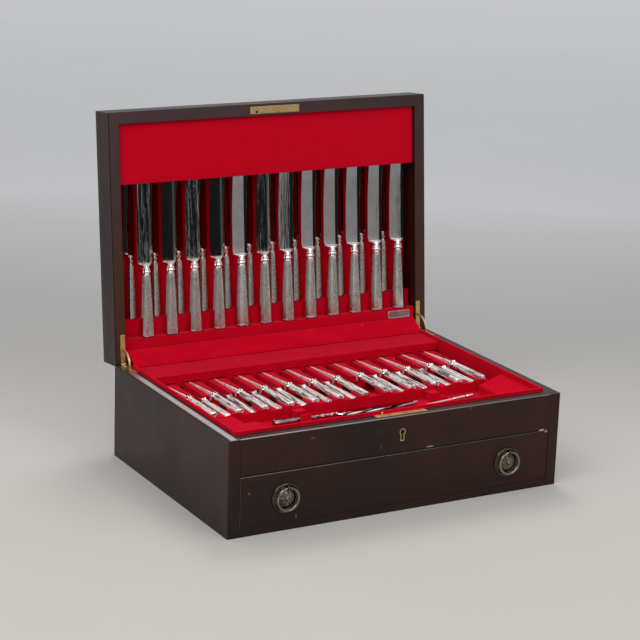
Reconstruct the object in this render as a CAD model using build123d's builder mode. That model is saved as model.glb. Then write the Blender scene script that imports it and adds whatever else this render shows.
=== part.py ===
"""Silverware chest: a hinged lid holding two rows of knives, a fitted tray and a drawer below.

Millimetres. +X is to the right, +Y to the back, +Z up. The origin is the centre of the underside.
The lid stands open against its stay arcs and the drawer is shut.
"""
import math
import os

from build123d import *

os.makedirs("parts", exist_ok=True)

# ---------------------------------------------------------------- chest and lid
chest_width = 460.0
chest_depth = 320.0
base_height = 120.0
lid_height = 38.0
wall = 15.0
lid_panel_thickness = 6.0
edge_round = 1.5
rim_gap = 0.4
pivot_inset = 1.8
back_chamfer = 2.4
opening_angle = 95.5

# ---------------------------------------------------------------- drawer bay and dust board
bottom_thickness = 10.0
front_rail_height = 46.5
dust_board_gap = 1.5
dust_board_thickness = 4.0

# ---------------------------------------------------------------- hinges
hinge_from_side = 11.0
leaf_width = 6.4
leaf_length = 38.0
leaf_thickness = 1.6
knuckle_radius = 1.7
hinge_pin_radius = 0.7
running_clearance = 0.05
knuckle_gap = 0.3
middle_knuckle = 2.0
stay_radius = 19.5
stay_width = 2.8
stay_thickness = 2.0
stay_head = 0.8
stay_overrun = 10.0
stay_head_angle = 4.0
stay_clearance = 0.4
leaf_screw_distances = (26.0, 33.0)
screw_head_radius = 2.2
screw_length = 12.0
screw_shank_radius = 1.1
screw_slot_depth = 0.4
leaf_clear_of_knuckle = 0.7

# ---------------------------------------------------------------- lock
lock_centre = 4.0
lock_plate_length = 71.0
lock_plate_width = 9.4
lock_plate_thickness = 1.8
lock_case_length = 56.0
lock_case_depth = 34.0
lock_case_wall = 1.5
lock_fit = 0.3
hook_places = (-16.0, 6.5)
hook_post = 1.8
hook_toe = 2.0
hook_thickness = 2.2
hook_toe_height = 1.5
hook_length = 6.0
hook_clearance = 0.5
bolt_thickness = 1.4
bolt_length = 48.0
bolt_width = 5.4
bolt_window_depth = 3.4
bolt_ledge_half = 20.0
bolt_gap = 0.4
hook_slot_length = 5.4
hook_slot_width = 3.0
staple_plate_inset = 0.4
locating_pin_place = -26.0
locating_pin_radius = 1.2
locating_pin_height = 4.5
link_screw_places = (-4.5, 21.0)
keyhole_x = 1.5
keyhole_drop = 16.1
keyhole_height = 15.2
keyhole_radius = 3.2
keyhole_slot = 3.4
liner_thickness = 0.8

# ---------------------------------------------------------------- velvet linings of the base
lining_thickness = 4.0
lip_height = 3.5
lip_step = 0.6
tray_floor_thickness = 2.0
trough_floor_drop = 25.0

# ---------------------------------------------------------------- tray racks
places = 12
tray_left_margin = 19.3
tray_right_margin = 21.0
tooth_gap = 11.2
tooth_before_knife = 9.1
tooth_drop = 12.4
tooth_height = 16.1
tooth_length = 106.0
comb_bar_depth = 10.0
blade_slot_width = 2.6
blade_slot_depth = 13.1
platform_depth = 48.0
platform_drop = 0.7
platform_thickness = 10.2
platform_seat_depth = 12.0
finger_depth = 6.5
finger_thickness = 4.0
finger_gap = 0.6
rack_from_back = 189.0
rack_depth = 22.0
rack_right_margin = 12.0
rack_drop = 9.5
rack_valley_drop = 12.2
rack_wall = 2.5
hump_before_knife = 6.0
hump_width = 17.0
hump_top_width = 13.0
knife_notch_drop = 13.0
fork_notch_drop = 16.0
notch_room = 1.2
left_filler_drop = 13.0
left_filler_narrow = 44.0
left_filler_wide = 60.0
left_filler_step = 27.0
right_filler_width = 33.0
right_filler_back = 8.0
right_filler_low_drop = 14.0
right_filler_high_drop = 3.0
bridge_from_left = 122.0
bridge_width = 15.0
bridge_depth = 25.0
bridge_drop = 14.0
bridge_front_wall = 2.5
bridge_notch_width = 11.0
block_from_blade = 19.0
block_width = 14.0
block_depth = 14.0
block_step_width = 13.0
block_step_depth = 12.0
block_step_drop = 21.5

# ---------------------------------------------------------------- tray cutlery
handle_end_gap = 0.5
tray_handle_length = 62.0
tray_handle_end_width = 11.0
tray_handle_neck_width = 8.0
tray_handle_height = 7.0
tray_handle_cap = 3.0
bolster_radius = 4.6
bolster_length = 14.0
bolster_turning = ((0, -1.4), (2, -0.6), (4, -1.6), (6, -0.6), (8, 0), (10, -0.6), (bolster_length, -2.6))
tray_blade_thickness = 1.6
tray_blade_length = 94.0
tray_tang_half = 1.6
tray_blade_slot_room = 2.5
tray_blade_tip_rise = 5.5
tray_blade_dip = 80.0
tray_blade_point = 14.0
fork_handle_inset = 4.0
fork_handle_length = 62.0
fork_end_width = 9.4
fork_neck_width = 6.2
fork_thickness = 4.5
fork_handle_cap = 3.0
fork_knob_radius = 3.8
fork_knob_turning = ((0, -1.4), (2.5, -0.4), (4, 0), (5.5, -0.4), (8.5, -1.9))
fork_stem_from_knob = 7.0
fork_stem_width = 3.4
fork_stem_thickness = 1.6
fork_stem_round = 0.6
fork_stem_sag = 1.0
fork_left_of_knife = 14.7
fork_head_reach = 59.0
fork_head_length = 46.0
fork_head_width = 18.0
fork_head_lift = 5.0
fork_head_thickness = 1.8
fork_head_root = 3.2
fork_shoulder_length = 12.0
fork_tip_taper = 0.6
fork_tines = 4
tine_length = 30.0
tine_gap = 2.2
empty_fork_index = 7
seat_gap = 0.1

# ---------------------------------------------------------------- trough cutlery
serving_from_rack = 17.0
serving_from_left = 89.0
serving_handle_length = 54.0
serving_shaft_length = 34.0
serving_blade_length = 117.0
serving_handle_width = 12.0
serving_handle_height = 6.0
serving_handle_cap = 4.0
serving_neck_taper = 5.0
serving_shaft_radius = 2.9
serving_groove = 0.8
serving_shaft_rings = (0, 10, 20, 30)
serving_ring_to_groove = 4.0
serving_blade_width = 17.0
serving_blade_thickness = 2.0
serving_blade_taper = 40.0
serving_back_taper = 30.0
serving_blade_point = 12.0
serving_tang_half = 2.0
serving_heel = 8.0
serving_back_heel = 6.0
skewer_left_from_right = 191.0
skewer_right_from_right = 47.0
skewer_left_from_rack = 38.0
skewer_right_from_rack = 16.0
skewer_radius = 2.0
skewer_thinning = 0.5
skewer_point_length = 9.0
skewer_point_radius = 0.4
skewer_collar_length = 12.0
skewer_collar_slope = 3.0

# ---------------------------------------------------------------- lid fittings
lid_recess = 4.2
pad_thickness = 4.8
pad_height = 76.5
pad_side_gap = 0.3
rack_gap = 0.3
batten_width = 16.0
lid_lining_thickness = 1.2
table_rack_top = 32.0
table_rack_back = 17.4
dessert_rack_top = 54.3
lid_row_margin = 57.1
table_row_shift = 7.5
dessert_row_shift = -8.0
table_knife_depth = 10.6
dessert_knife_depth = 24.0
butt_hollow_depth = 1.6
butt_side_room = 1.0
plaque_width = 34.8
plaque_height = 10.0
plaque_thickness = 0.6
plaque_corner = 2.5
plaque_from_right = 39.0
plaque_low = 18.6

# ---------------------------------------------------------------- lid cutlery
table_handle_length = 80.0
table_end_width = 17.4
table_neck_width = 10.8
table_handle_thickness = 9.4
table_handle_cap = 4.0
handle_sunk_in_ferrule = 0.5
ferrule_length = 10.0
bell_length = 8.0
bell_lip = 1.2
ferrule_turning = ((0, 4.2), (2, 4.6), (4, 3.6), (6, 4.4), (8, 4.4), (ferrule_length, 3.6))
bell_radii = (3.9, 5.2)
table_blade_width = 20.0
table_tip_room = 11.3
table_blade_thickness = 1.8
dessert_handle_length = 70.0
dessert_end_width = 9.0
dessert_neck_width = 5.6
dessert_handle_thickness = 7.0
dessert_handle_cap = 3.0
dessert_ferrule_length = 14.0
dessert_ferrule_turning = ((0, 2.9), (2, 3.3), (4, 2.5), (6, 3.1), (9, 2.6))
dessert_bell_turning = ((13, 3.9), (dessert_ferrule_length, 3.9))
dessert_blade_width = 15.0
dessert_tip_room = 26.2
dessert_blade_thickness = 1.6

# ---------------------------------------------------------------- hinge cloth
cloth_thickness = 0.8
cloth_base_inset = 3.6
cloth_lid_height = 18.2
cloth_lid_depth = 3.0
cloth_side_gap = 2.0
cloth_above_base = 0.3
cloth_above_lid = 0.1

# ---------------------------------------------------------------- drawer
drawer_gap = 0.5
drawer_side_gap = 0.7
drawer_rest_gap = 0.3
drawer_side_thickness = 8.0
drawer_side_drop = 8.2
drawer_back_gap = 20.0
drawer_bottom_thickness = 4.0
drawer_bottom_raise = 4.0
drawer_lining_thickness = 1.5
drawer_rack_distances = (50.0, 170.0)
drawer_rack_depth = 14.0
drawer_rack_height = 24.0
drawer_notch_radius = 9.0
drawer_notch_margin = 49.6
drawer_notches = 12

# ---------------------------------------------------------------- ring pulls
pull_from_side = 75.5
pull_below_middle = 1.5
backplate_radius = 18.7
backplate_thickness = 1.4
backplate_rim = 1.0
backplate_rim_width = 1.8
backplate_rim_inset = 0.8
rosette_radius = 8.6
rosette_height = 3.6
bead_radius = 2.4
rosette_edge = 1.0
bead_seat = 1.5
shank_radius = 2.0
nut_radius = 4.5
nut_thickness = 3.0
ring_radius = 13.75
ring_wire_radius = 1.75
ring_clearance = 0.4
ring_stand_off = 6.4
lug_radius = 3.9
lug_width = 4.6
lug_root_step = 1.0

# ---------------------------------------------------------------- derived places
half_width = chest_width / 2
half_depth = chest_depth / 2
inner_x = half_width - wall
inner_y = half_depth - wall
lining_x = inner_x - lining_thickness
lining_y = inner_y - lining_thickness
drawer_top = base_height - front_rail_height
dust_board_bottom = drawer_top + dust_board_gap
tray_board_top = dust_board_bottom + dust_board_thickness
tray_floor = tray_board_top + tray_floor_thickness
lip_top = base_height + lip_height
keyhole_top = base_height - keyhole_drop
pivot_y = half_depth - pivot_inset
pivot_z = base_height + rim_gap / 2
lean = math.radians(opening_angle - 90)
hinge_x = half_width - hinge_from_side
stay_slot_reach = stay_width / 2 + stay_head + stay_clearance
half_swing = math.radians(opening_angle / 2 + stay_overrun)
mortise_near = (stay_radius - stay_slot_reach) * math.cos(half_swing) - stay_clearance
mortise_far = stay_radius + stay_slot_reach
mortise_depth = mortise_far * math.sin(half_swing) + stay_clearance
mortise_width = stay_thickness + 2 * stay_clearance
lid_inside = lid_height - lid_panel_thickness
lid_floor = lid_inside - lid_lining_thickness
rim_plane = Plane(
    origin=(0, pivot_y, pivot_z),
    x_dir=(1, 0, 0),
    z_dir=(0, -math.cos(lean), math.sin(lean)),
)

trough_floor_top = base_height - trough_floor_drop
tooth_top = base_height - tooth_drop
tooth_bottom = tooth_top - tooth_height
tooth_front = lining_y - tooth_length
blade_slot_bottom = tooth_top - blade_slot_depth
platform_front = lining_y - platform_depth
platform_top = base_height - platform_drop
rack_front = lining_y - rack_from_back
rack_top = base_height - rack_drop
rack_valley = base_height - rack_valley_drop
knife_notch_z = base_height - knife_notch_drop
fork_notch_z = base_height - fork_notch_drop
left_filler_top = base_height - left_filler_drop
right_filler_low = base_height - right_filler_low_drop
right_filler_high = base_height - right_filler_high_drop
bridge_left = -lining_x + bridge_from_left
bridge_top = base_height - bridge_drop
block_step_top = base_height - block_step_drop
handle_end = rack_front + rack_wall + handle_end_gap
fork_handle_end = rack_front + fork_handle_inset
fork_head_front = lining_y - fork_head_reach
fork_head_z = tray_floor + fork_head_lift
serving_y = rack_front - serving_from_rack
serving_left = -lining_x + serving_from_left
serving_right = serving_left + serving_handle_length + serving_shaft_length + serving_blade_length
block_left = serving_right + block_from_blade
skewer_left = lining_x - skewer_left_from_right
skewer_right = lining_x - skewer_right_from_right
skewer_left_y = rack_front - skewer_left_from_rack
skewer_right_y = rack_front - skewer_right_from_rack

pad_end = chest_depth - wall
pad_start = pad_end - pad_height
blade_limit = pad_end - batten_width

tray_first_knife = -lining_x + tray_left_margin
tray_pitch = (2 * lining_x - tray_left_margin - tray_right_margin) / (places - 1)
tooth_width = tray_pitch - tooth_gap
lid_pitch = (2 * inner_x - lid_row_margin) / (places - 1)
tray_knives_x = [tray_first_knife + tray_pitch * i for i in range(places)]
forks_x = [x - fork_left_of_knife for i, x in enumerate(tray_knives_x) if i not in (0, empty_fork_index)]
teeth_x = [x - tooth_before_knife + tooth_width / 2 for x in tray_knives_x]
table_knives_x = [table_row_shift + lid_pitch * (i - (places - 1) / 2) for i in range(places)]
dessert_knives_x = [dessert_row_shift + lid_pitch * (i - (places - 1) / 2) for i in range(places)]


# ---------------------------------------------------------------- helpers
def save(builder, name):
    """Labels a finished piece and writes it under its own name."""
    builder.part.label = name
    export_step(builder.part, f"parts/{name}.step")


def lid_plane(depth):
    """Plane parallel to the lid's rim, at a depth behind it."""
    return rim_plane.offset(-(rim_gap / 2 + depth))


def up_lid(height):
    """Local Y, from the hinge axis, of a height measured from the lid's hinge-side face."""
    return height - pivot_inset


def board(x_span, y_span, z_span):
    """Plain board between two limits on each axis."""
    with BuildPart() as piece:
        with BuildSketch(Plane.XY.offset(z_span[0])):
            with Locations((sum(x_span) / 2, sum(y_span) / 2)):
                Rectangle(x_span[1] - x_span[0], y_span[1] - y_span[0])
        extrude(amount=z_span[1] - z_span[0])
    return piece


def lid_board(x_span, height_span, depth_span):
    """Plain board in the lid: heights run up from the hinge side, depths back from the rim."""
    with BuildPart() as piece:
        with BuildSketch(lid_plane(depth_span[1])):
            with Locations((sum(x_span) / 2, up_lid(sum(height_span) / 2))):
                Rectangle(x_span[1] - x_span[0], height_span[1] - height_span[0])
        extrude(amount=depth_span[1] - depth_span[0])
    return piece


def hinge_disc(x_start, radius):
    """Circle about the hinge axis, on a plane across it."""
    with BuildSketch(Plane.YZ.offset(x_start)) as disc:
        with Locations((pivot_y, pivot_z)):
            Circle(radius)
    return disc.sketch


def row(piece, places_x):
    """The same piece repeated along X, as separate solids."""
    with BuildPart() as group:
        with Locations(*[(x, 0, 0) for x in places_x]):
            add(piece.part)
    return group


# ---------------------------------------------------------------- case of the base
def make_side():
    """Left side of the case, with the hinge recess and the stay's mortise in its rim."""
    with BuildPart() as side:
        with BuildSketch(Plane.XY):
            with Locations((-(half_width + inner_x) / 2, 0)):
                Rectangle(wall, chest_depth)
        extrude(amount=base_height)
        rim_back = side.faces().sort_by(Axis.Z)[-1].edges().sort_by(Axis.Y)[-1]
        chamfer(rim_back, back_chamfer)
        outer = side.faces().sort_by(Axis.X)[0]
        upright = outer.edges().filter_by(Axis.Z).sort_by(Axis.Y)[0]
        fillet([upright, outer.edges().sort_by(Axis.Z)[-1]], edge_round)
        with BuildSketch(Plane.XY.offset(base_height)):
            with Locations((-hinge_x, pivot_y - leaf_length / 2)):
                Rectangle(leaf_width, leaf_length)
        extrude(amount=-leaf_thickness, mode=Mode.SUBTRACT)
        with BuildSketch(Plane.XY.offset(base_height)):
            with Locations((-hinge_x, pivot_y - (mortise_near + mortise_far) / 2)):
                Rectangle(mortise_width, mortise_far - mortise_near)
        extrude(amount=-mortise_depth, mode=Mode.SUBTRACT)
        recess = hinge_disc(-hinge_x - leaf_width / 2 - knuckle_gap, knuckle_radius + knuckle_gap)
        extrude(recess, amount=leaf_width + 2 * knuckle_gap, mode=Mode.SUBTRACT)
        with BuildSketch(Plane.XY.offset(base_height)):
            with Locations(*[(-hinge_x, pivot_y - d) for d in leaf_screw_distances]):
                Circle(screw_shank_radius)
        extrude(amount=-(screw_length + leaf_thickness), mode=Mode.SUBTRACT)
    return side


side_left = make_side()
save(side_left, "side_left")
with BuildPart() as side_right:
    mirror(side_left.part, about=Plane.YZ)
save(side_right, "side_right")

with BuildPart() as back_panel:
    with BuildSketch(Plane.XY):
        with Locations((0, half_depth - wall / 2)):
            Rectangle(2 * inner_x, wall)
    extrude(amount=base_height)
    chamfer(back_panel.faces().sort_by(Axis.Z)[-1].edges().sort_by(Axis.Y)[-1], back_chamfer)
save(back_panel, "back_panel")

lock_mortise_half = lock_case_length / 2 + lock_fit
lock_back = -inner_y - lock_fit
lock_front = -inner_y - lock_plate_width
lock_middle_y = (lock_back + lock_front) / 2
lock_case_top = base_height - lock_plate_thickness
lock_case_bottom = lock_case_top - lock_case_depth


def keyhole_profile(grow):
    """Round-topped keyhole outline on the front, grown by a margin."""
    eye = keyhole_top - liner_thickness - keyhole_radius
    with BuildSketch(Plane.XZ.offset(half_depth)) as profile:
        with Locations((keyhole_x, eye)):
            Circle(keyhole_radius + grow)
        with Locations((keyhole_x, (eye + keyhole_top - keyhole_height + liner_thickness - grow) / 2)):
            Rectangle(keyhole_slot + 2 * grow, eye - (keyhole_top - keyhole_height + liner_thickness - grow))
    return profile.sketch


with BuildPart() as front_rail:
    with BuildSketch(Plane.XY.offset(drawer_top)):
        with Locations((0, -half_depth + wall / 2)):
            Rectangle(2 * inner_x, wall)
    extrude(amount=base_height - drawer_top)
    fillet(front_rail.faces().sort_by(Axis.Z)[-1].edges().sort_by(Axis.Y)[0], edge_round)
    with BuildSketch(Plane.XY.offset(base_height)):
        with Locations((lock_centre, -inner_y - lock_plate_width / 2)):
            Rectangle(lock_plate_length, lock_plate_width)
    extrude(amount=-lock_plate_thickness, mode=Mode.SUBTRACT)
    with BuildSketch(Plane.XY.offset(lock_case_top)):
        with Locations((lock_centre, -inner_y - (lock_plate_width + lock_fit) / 2)):
            Rectangle(2 * lock_mortise_half, lock_plate_width + lock_fit)
    extrude(amount=-(lock_case_depth + lock_fit), mode=Mode.SUBTRACT)
    extrude(keyhole_profile(liner_thickness), amount=-wall, mode=Mode.SUBTRACT)
save(front_rail, "front_rail")

bottom_board = board((-inner_x, inner_x), (-half_depth, inner_y), (0, bottom_thickness))
save(bottom_board, "bottom_board")

dust_board = board((-inner_x, inner_x), (-inner_y, inner_y), (dust_board_bottom, tray_board_top))
save(dust_board, "dust_board")


# ---------------------------------------------------------------- velvet linings
def long_lining(y_outer, y_inner, top):
    """Lining board across the case; its standing lip steps in from the wall it lies on."""
    inward = 1 if y_inner > y_outer else -1
    middle = (y_outer + y_inner) / 2
    with BuildPart() as lining:
        with BuildSketch(Plane.XY.offset(tray_board_top)):
            with Locations((0, middle)):
                Rectangle(2 * inner_x, lining_thickness)
        extrude(amount=min(top, base_height) - tray_board_top)
        if top > base_height:
            with BuildSketch(Plane.XY.offset(base_height)):
                with Locations((0, middle + inward * lip_step / 2)):
                    Rectangle(2 * (inner_x - lip_step), lining_thickness - lip_step)
            extrude(amount=top - base_height)
            fillet(lining.faces().sort_by(Axis.Z)[-1].edges().filter_by(Axis.X), lip_step)
    return lining


lining_front = long_lining(-inner_y, -lining_y, lip_top)
save(lining_front, "lining_front")

lining_back = long_lining(inner_y, lining_y, platform_top)
save(lining_back, "lining_back")

with BuildPart() as lining_left:
    with BuildSketch(Plane.XY.offset(tray_board_top)):
        with Locations((-(inner_x + lining_x) / 2, 0)):
            Rectangle(lining_thickness, 2 * lining_y)
    extrude(amount=base_height - tray_board_top)
    with BuildSketch(Plane.XY.offset(base_height)):
        with Locations((-(inner_x + lining_x - lip_step) / 2, 0)):
            Rectangle(lining_thickness - lip_step, 2 * lining_y)
    extrude(amount=lip_height)
    fillet(lining_left.faces().sort_by(Axis.Z)[-1].edges().filter_by(Axis.Y), lip_step)
save(lining_left, "lining_left")
with BuildPart() as lining_right:
    mirror(lining_left.part, about=Plane.YZ)
save(lining_right, "lining_right")

with BuildPart() as tray_board:
    with BuildSketch(Plane.XY.offset(tray_board_top)):
        Rectangle(2 * lining_x, 2 * lining_y)
    extrude(amount=tray_floor_thickness)
    with BuildSketch(Plane.XY.offset(tray_floor)):
        with Locations((0, (rack_front - lining_y) / 2)):
            Rectangle(2 * lining_x, rack_front + lining_y)
    extrude(amount=trough_floor_top - tray_floor)
save(tray_board, "tray_floor")

# ---------------------------------------------------------------- tray racks
with BuildPart() as knife_comb:
    with BuildSketch(Plane.XY.offset(tray_floor)):
        with Locations((0, lining_y - comb_bar_depth / 2)):
            Rectangle(2 * lining_x, comb_bar_depth)
    extrude(amount=tooth_top - tray_floor)
    with BuildSketch(Plane.XY.offset(tooth_bottom)):
        with Locations(*[(x, (tooth_front + lining_y) / 2) for x in teeth_x]):
            Rectangle(tooth_width, lining_y - tooth_front)
    extrude(amount=tooth_top - tooth_bottom)
    blade_slot_end = handle_end + tray_handle_length + bolster_length + tray_blade_length + finger_gap
    with BuildSketch(Plane.XY.offset(tooth_top)):
        with Locations(*[(x, (tooth_front + blade_slot_end) / 2) for x in tray_knives_x]):
            Rectangle(blade_slot_width, blade_slot_end - tooth_front)
    extrude(amount=-(tooth_top - blade_slot_bottom), mode=Mode.SUBTRACT)
save(knife_comb, "knife_comb")

with BuildPart() as platform:
    platform_bottom = platform_top - platform_thickness
    with BuildSketch(Plane.XY.offset(platform_bottom)):
        with Locations((0, (platform_front + lining_y) / 2)):
            Rectangle(2 * lining_x, lining_y - platform_front)
    extrude(amount=platform_thickness)
    fillet(platform.faces().sort_by(Axis.Z)[-1].edges().sort_by(Axis.Y)[0], lip_step)
    with BuildSketch(Plane.XY.offset(tooth_top)):
        with Locations((0, lining_y - platform_seat_depth / 2)):
            Rectangle(2 * lining_x, platform_seat_depth)
    extrude(amount=platform_bottom - tooth_top)
    finger_width = tray_pitch - tooth_width - 2 * finger_gap
    fingers_x = [(a + b) / 2 for a, b in zip(teeth_x, teeth_x[1:])]
    with BuildSketch(Plane.XY.offset(platform_bottom)):
        with Locations(*[(x, platform_front + finger_thickness / 2) for x in fingers_x]):
            Rectangle(finger_width, finger_thickness)
    extrude(amount=-finger_depth)
save(platform, "platform")

with BuildPart() as handle_rack:
    rack_left = -lining_x
    rack_right = lining_x - rack_right_margin
    rack_middle = (rack_left + rack_right) / 2
    with BuildSketch(Plane.XZ.offset(-rack_front)):
        with Locations((rack_middle, (tray_floor + rack_valley) / 2)):
            Rectangle(rack_right - rack_left, rack_valley - tray_floor)
        for x in tray_knives_x[1:]:
            hump_x = x - hump_before_knife
            with BuildLine():
                Polyline(
                    (hump_x - hump_width / 2, rack_valley),
                    (hump_x + hump_width / 2, rack_valley),
                    (hump_x + hump_top_width / 2, rack_top),
                    (hump_x - hump_top_width / 2, rack_top),
                    close=True,
                )
            make_face()
    extrude(amount=-rack_depth)
    empty_place_x = tray_knives_x[empty_fork_index] - fork_left_of_knife
    with BuildSketch(Plane.XZ.offset(-rack_front - rack_wall)):
        with Locations(*[(x, (knife_notch_z + rack_top) / 2) for x in tray_knives_x]):
            Rectangle(tray_handle_end_width + notch_room, rack_top - knife_notch_z)
        with Locations(*[(x, (fork_notch_z + rack_top) / 2) for x in forks_x + [empty_place_x]]):
            Rectangle(fork_end_width + notch_room, rack_top - fork_notch_z)
    extrude(amount=rack_wall - rack_depth, mode=Mode.SUBTRACT)
save(handle_rack, "handle_rack")

with BuildPart() as filler_left:
    with BuildSketch(Plane.XY.offset(trough_floor_top)):
        with Locations((-lining_x + left_filler_narrow / 2, (rack_front - lining_y) / 2)):
            Rectangle(left_filler_narrow, rack_front + lining_y)
        with Locations((-lining_x + left_filler_wide / 2, (rack_front - left_filler_step - lining_y) / 2)):
            Rectangle(left_filler_wide, rack_front - left_filler_step + lining_y)
    extrude(amount=left_filler_top - trough_floor_top)
save(filler_left, "filler_left")

with BuildPart() as filler_right:
    ramp_back = rack_front - right_filler_back
    with BuildSketch(Plane.XZ.offset(lining_y)):
        with BuildLine():
            Polyline(
                (lining_x - right_filler_width, trough_floor_top),
                (lining_x, trough_floor_top),
                (lining_x, right_filler_high),
                (lining_x - right_filler_width, right_filler_low),
                close=True,
            )
        make_face()
    extrude(amount=-(ramp_back + lining_y))
save(filler_right, "filler_right")

with BuildPart() as bridge_blocks:
    with BuildSketch(Plane.XY.offset(trough_floor_top)):
        with Locations((bridge_left + bridge_width / 2, rack_front - bridge_depth / 2)):
            Rectangle(bridge_width, bridge_depth)
    extrude(amount=bridge_top - trough_floor_top)
    with BuildSketch(Plane.XY.offset(trough_floor_top)):
        notch_y = rack_front - bridge_depth + bridge_front_wall + bridge_notch_width / 2
        with Locations((bridge_left + bridge_width / 2, notch_y)):
            Rectangle(bridge_width, bridge_notch_width)
    extrude(amount=bridge_top - trough_floor_top, mode=Mode.SUBTRACT)
    with BuildSketch(Plane.XY.offset(trough_floor_top)):
        with Locations((block_left + block_width / 2, rack_front - block_depth / 2)):
            Rectangle(block_width, block_depth)
    extrude(amount=bridge_top - trough_floor_top)
    with BuildSketch(Plane.XY.offset(trough_floor_top)):
        with Locations((block_left + block_width + block_step_width / 2, rack_front - block_step_depth / 2)):
            Rectangle(block_step_width, block_step_depth)
    extrude(amount=block_step_top - trough_floor_top)
save(bridge_blocks, "bridge_blocks")


# ---------------------------------------------------------------- cutlery shapes
def faceted_handle(plane, length, end_size, neck_size, cap):
    """Eight-sided handle tapering along the plane's normal, its end cut to a blunt point."""
    (end_width, end_height), (neck_width, neck_height) = end_size, neck_size
    stations = (
        (0, 0.55 * end_width, 0.5 * end_height),
        (cap, end_width, end_height),
        (length, neck_width, neck_height),
    )
    with BuildPart() as handle:
        for distance, width, height in stations:
            with BuildSketch(plane.offset(distance)) as outline:
                Rectangle(width, height)
                chamfer(outline.vertices(), min(width, height) / 4)
        loft(ruled=True)
    return handle


def turned(plane, stations):
    """Turned piece: radii at distances along the plane's normal."""
    section = Plane(origin=plane.origin, x_dir=plane.x_dir, z_dir=-plane.y_dir)
    with BuildPart() as piece:
        with BuildSketch(section):
            with BuildLine():
                Polyline(
                    (0, stations[0][0]),
                    *[(radius, distance) for distance, radius in stations],
                    (0, stations[-1][0]),
                    close=True,
                )
            make_face()
        revolve(axis=Axis(plane.origin, plane.z_dir))
    return piece


def joined(*pieces):
    """Pieces of one casting, fused."""
    with BuildPart() as whole:
        for piece in pieces:
            add(piece.part)
    return whole


def along_y(y, z):
    """Plane at x = 0 facing the back of the chest."""
    return Plane(origin=(0, y, z), x_dir=(1, 0, 0), z_dir=(0, 1, 0))


# ---------------------------------------------------------------- tray knives
knife_axis_z = knife_notch_z + seat_gap + tray_handle_height / 2
bolster_start = handle_end + tray_handle_length
blade_start = bolster_start + bolster_length
tray_handle = joined(
    faceted_handle(
        along_y(handle_end, knife_axis_z),
        tray_handle_length + 1,
        (tray_handle_end_width, tray_handle_height),
        (tray_handle_neck_width, tray_handle_neck_width - 1),
        tray_handle_cap,
    ),
    turned(
        along_y(bolster_start, knife_axis_z),
        [(distance, bolster_radius + change) for distance, change in bolster_turning],
    ),
)
save(row(tray_handle, tray_knives_x), "tray_knife_handles")

blade_low = blade_slot_bottom + tray_blade_slot_room
with BuildPart() as tray_blade:
    with BuildSketch(Plane.YZ.offset(-tray_blade_thickness / 2)):
        with BuildLine():
            Polyline(
                (blade_start, knife_axis_z - tray_tang_half),
                (tooth_front - 1, blade_low + tray_tang_half),
                (tooth_front + tray_blade_point, blade_low),
                (blade_start + tray_blade_length - tray_blade_point, blade_low),
                (blade_start + tray_blade_length, blade_low + tray_blade_tip_rise),
                (blade_start + tray_blade_length - tray_blade_point, blade_low + 2 * tray_blade_tip_rise),
                (handle_end + tray_handle_length + tray_blade_dip, tooth_top),
                (tooth_front, knife_axis_z + tray_tang_half),
                (blade_start, knife_axis_z + tray_tang_half),
                close=True,
            )
        make_face()
    extrude(amount=tray_blade_thickness)
save(row(tray_blade, tray_knives_x), "tray_knife_blades")

# ---------------------------------------------------------------- tray forks
fork_axis_z = fork_notch_z + seat_gap + fork_thickness / 2
fork_knob_y = fork_handle_end + fork_handle_length
fork_stem_start = fork_knob_y + fork_stem_from_knob
fork_stem_end = fork_head_front + 3
fork_stem_middle = (fork_knob_y + fork_head_front) / 2 + 6
with BuildPart() as fork_neck:
    with BuildLine() as neck_path:
        Spline(
            (0, fork_stem_start, fork_axis_z),
            (0, fork_stem_middle, (fork_axis_z + fork_head_z) / 2 - fork_stem_sag),
            (0, fork_stem_end, fork_head_z + fork_head_thickness / 2),
            tangents=((0, 1, 0), (0, 1, 0)),
        )
    with BuildSketch(along_y(fork_stem_start, fork_axis_z)):
        RectangleRounded(fork_stem_width, fork_stem_thickness, fork_stem_round)
    sweep(path=neck_path.line)
with BuildPart() as fork_head:
    with BuildSketch(Plane.XY.offset(fork_head_z)):
        with BuildLine():
            Polyline(
                (-fork_head_root / 2, fork_head_front),
                (fork_head_root / 2, fork_head_front),
                (fork_head_width / 2, fork_head_front + fork_shoulder_length),
                (fork_head_width / 2 - fork_tip_taper, fork_head_front + fork_head_length),
                (-fork_head_width / 2 + fork_tip_taper, fork_head_front + fork_head_length),
                (-fork_head_width / 2, fork_head_front + fork_shoulder_length),
                close=True,
            )
        make_face()
        tine_pitch = (fork_head_width + tine_gap) / fork_tines
        with Locations((0, fork_head_front + fork_head_length - tine_length / 2)):
            with GridLocations(tine_pitch, 1, fork_tines - 1, 1):
                Rectangle(tine_gap, tine_length, mode=Mode.SUBTRACT)
    extrude(amount=fork_head_thickness)
fork = joined(
    faceted_handle(
        along_y(fork_handle_end, fork_axis_z),
        fork_handle_length + 1,
        (fork_end_width, fork_thickness),
        (fork_neck_width, fork_thickness - 1),
        fork_handle_cap,
    ),
    turned(
        along_y(fork_knob_y, fork_axis_z),
        [(distance, fork_knob_radius + change) for distance, change in fork_knob_turning],
    ),
    fork_neck,
    fork_head,
)
save(row(fork, forks_x), "tray_forks")

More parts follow.
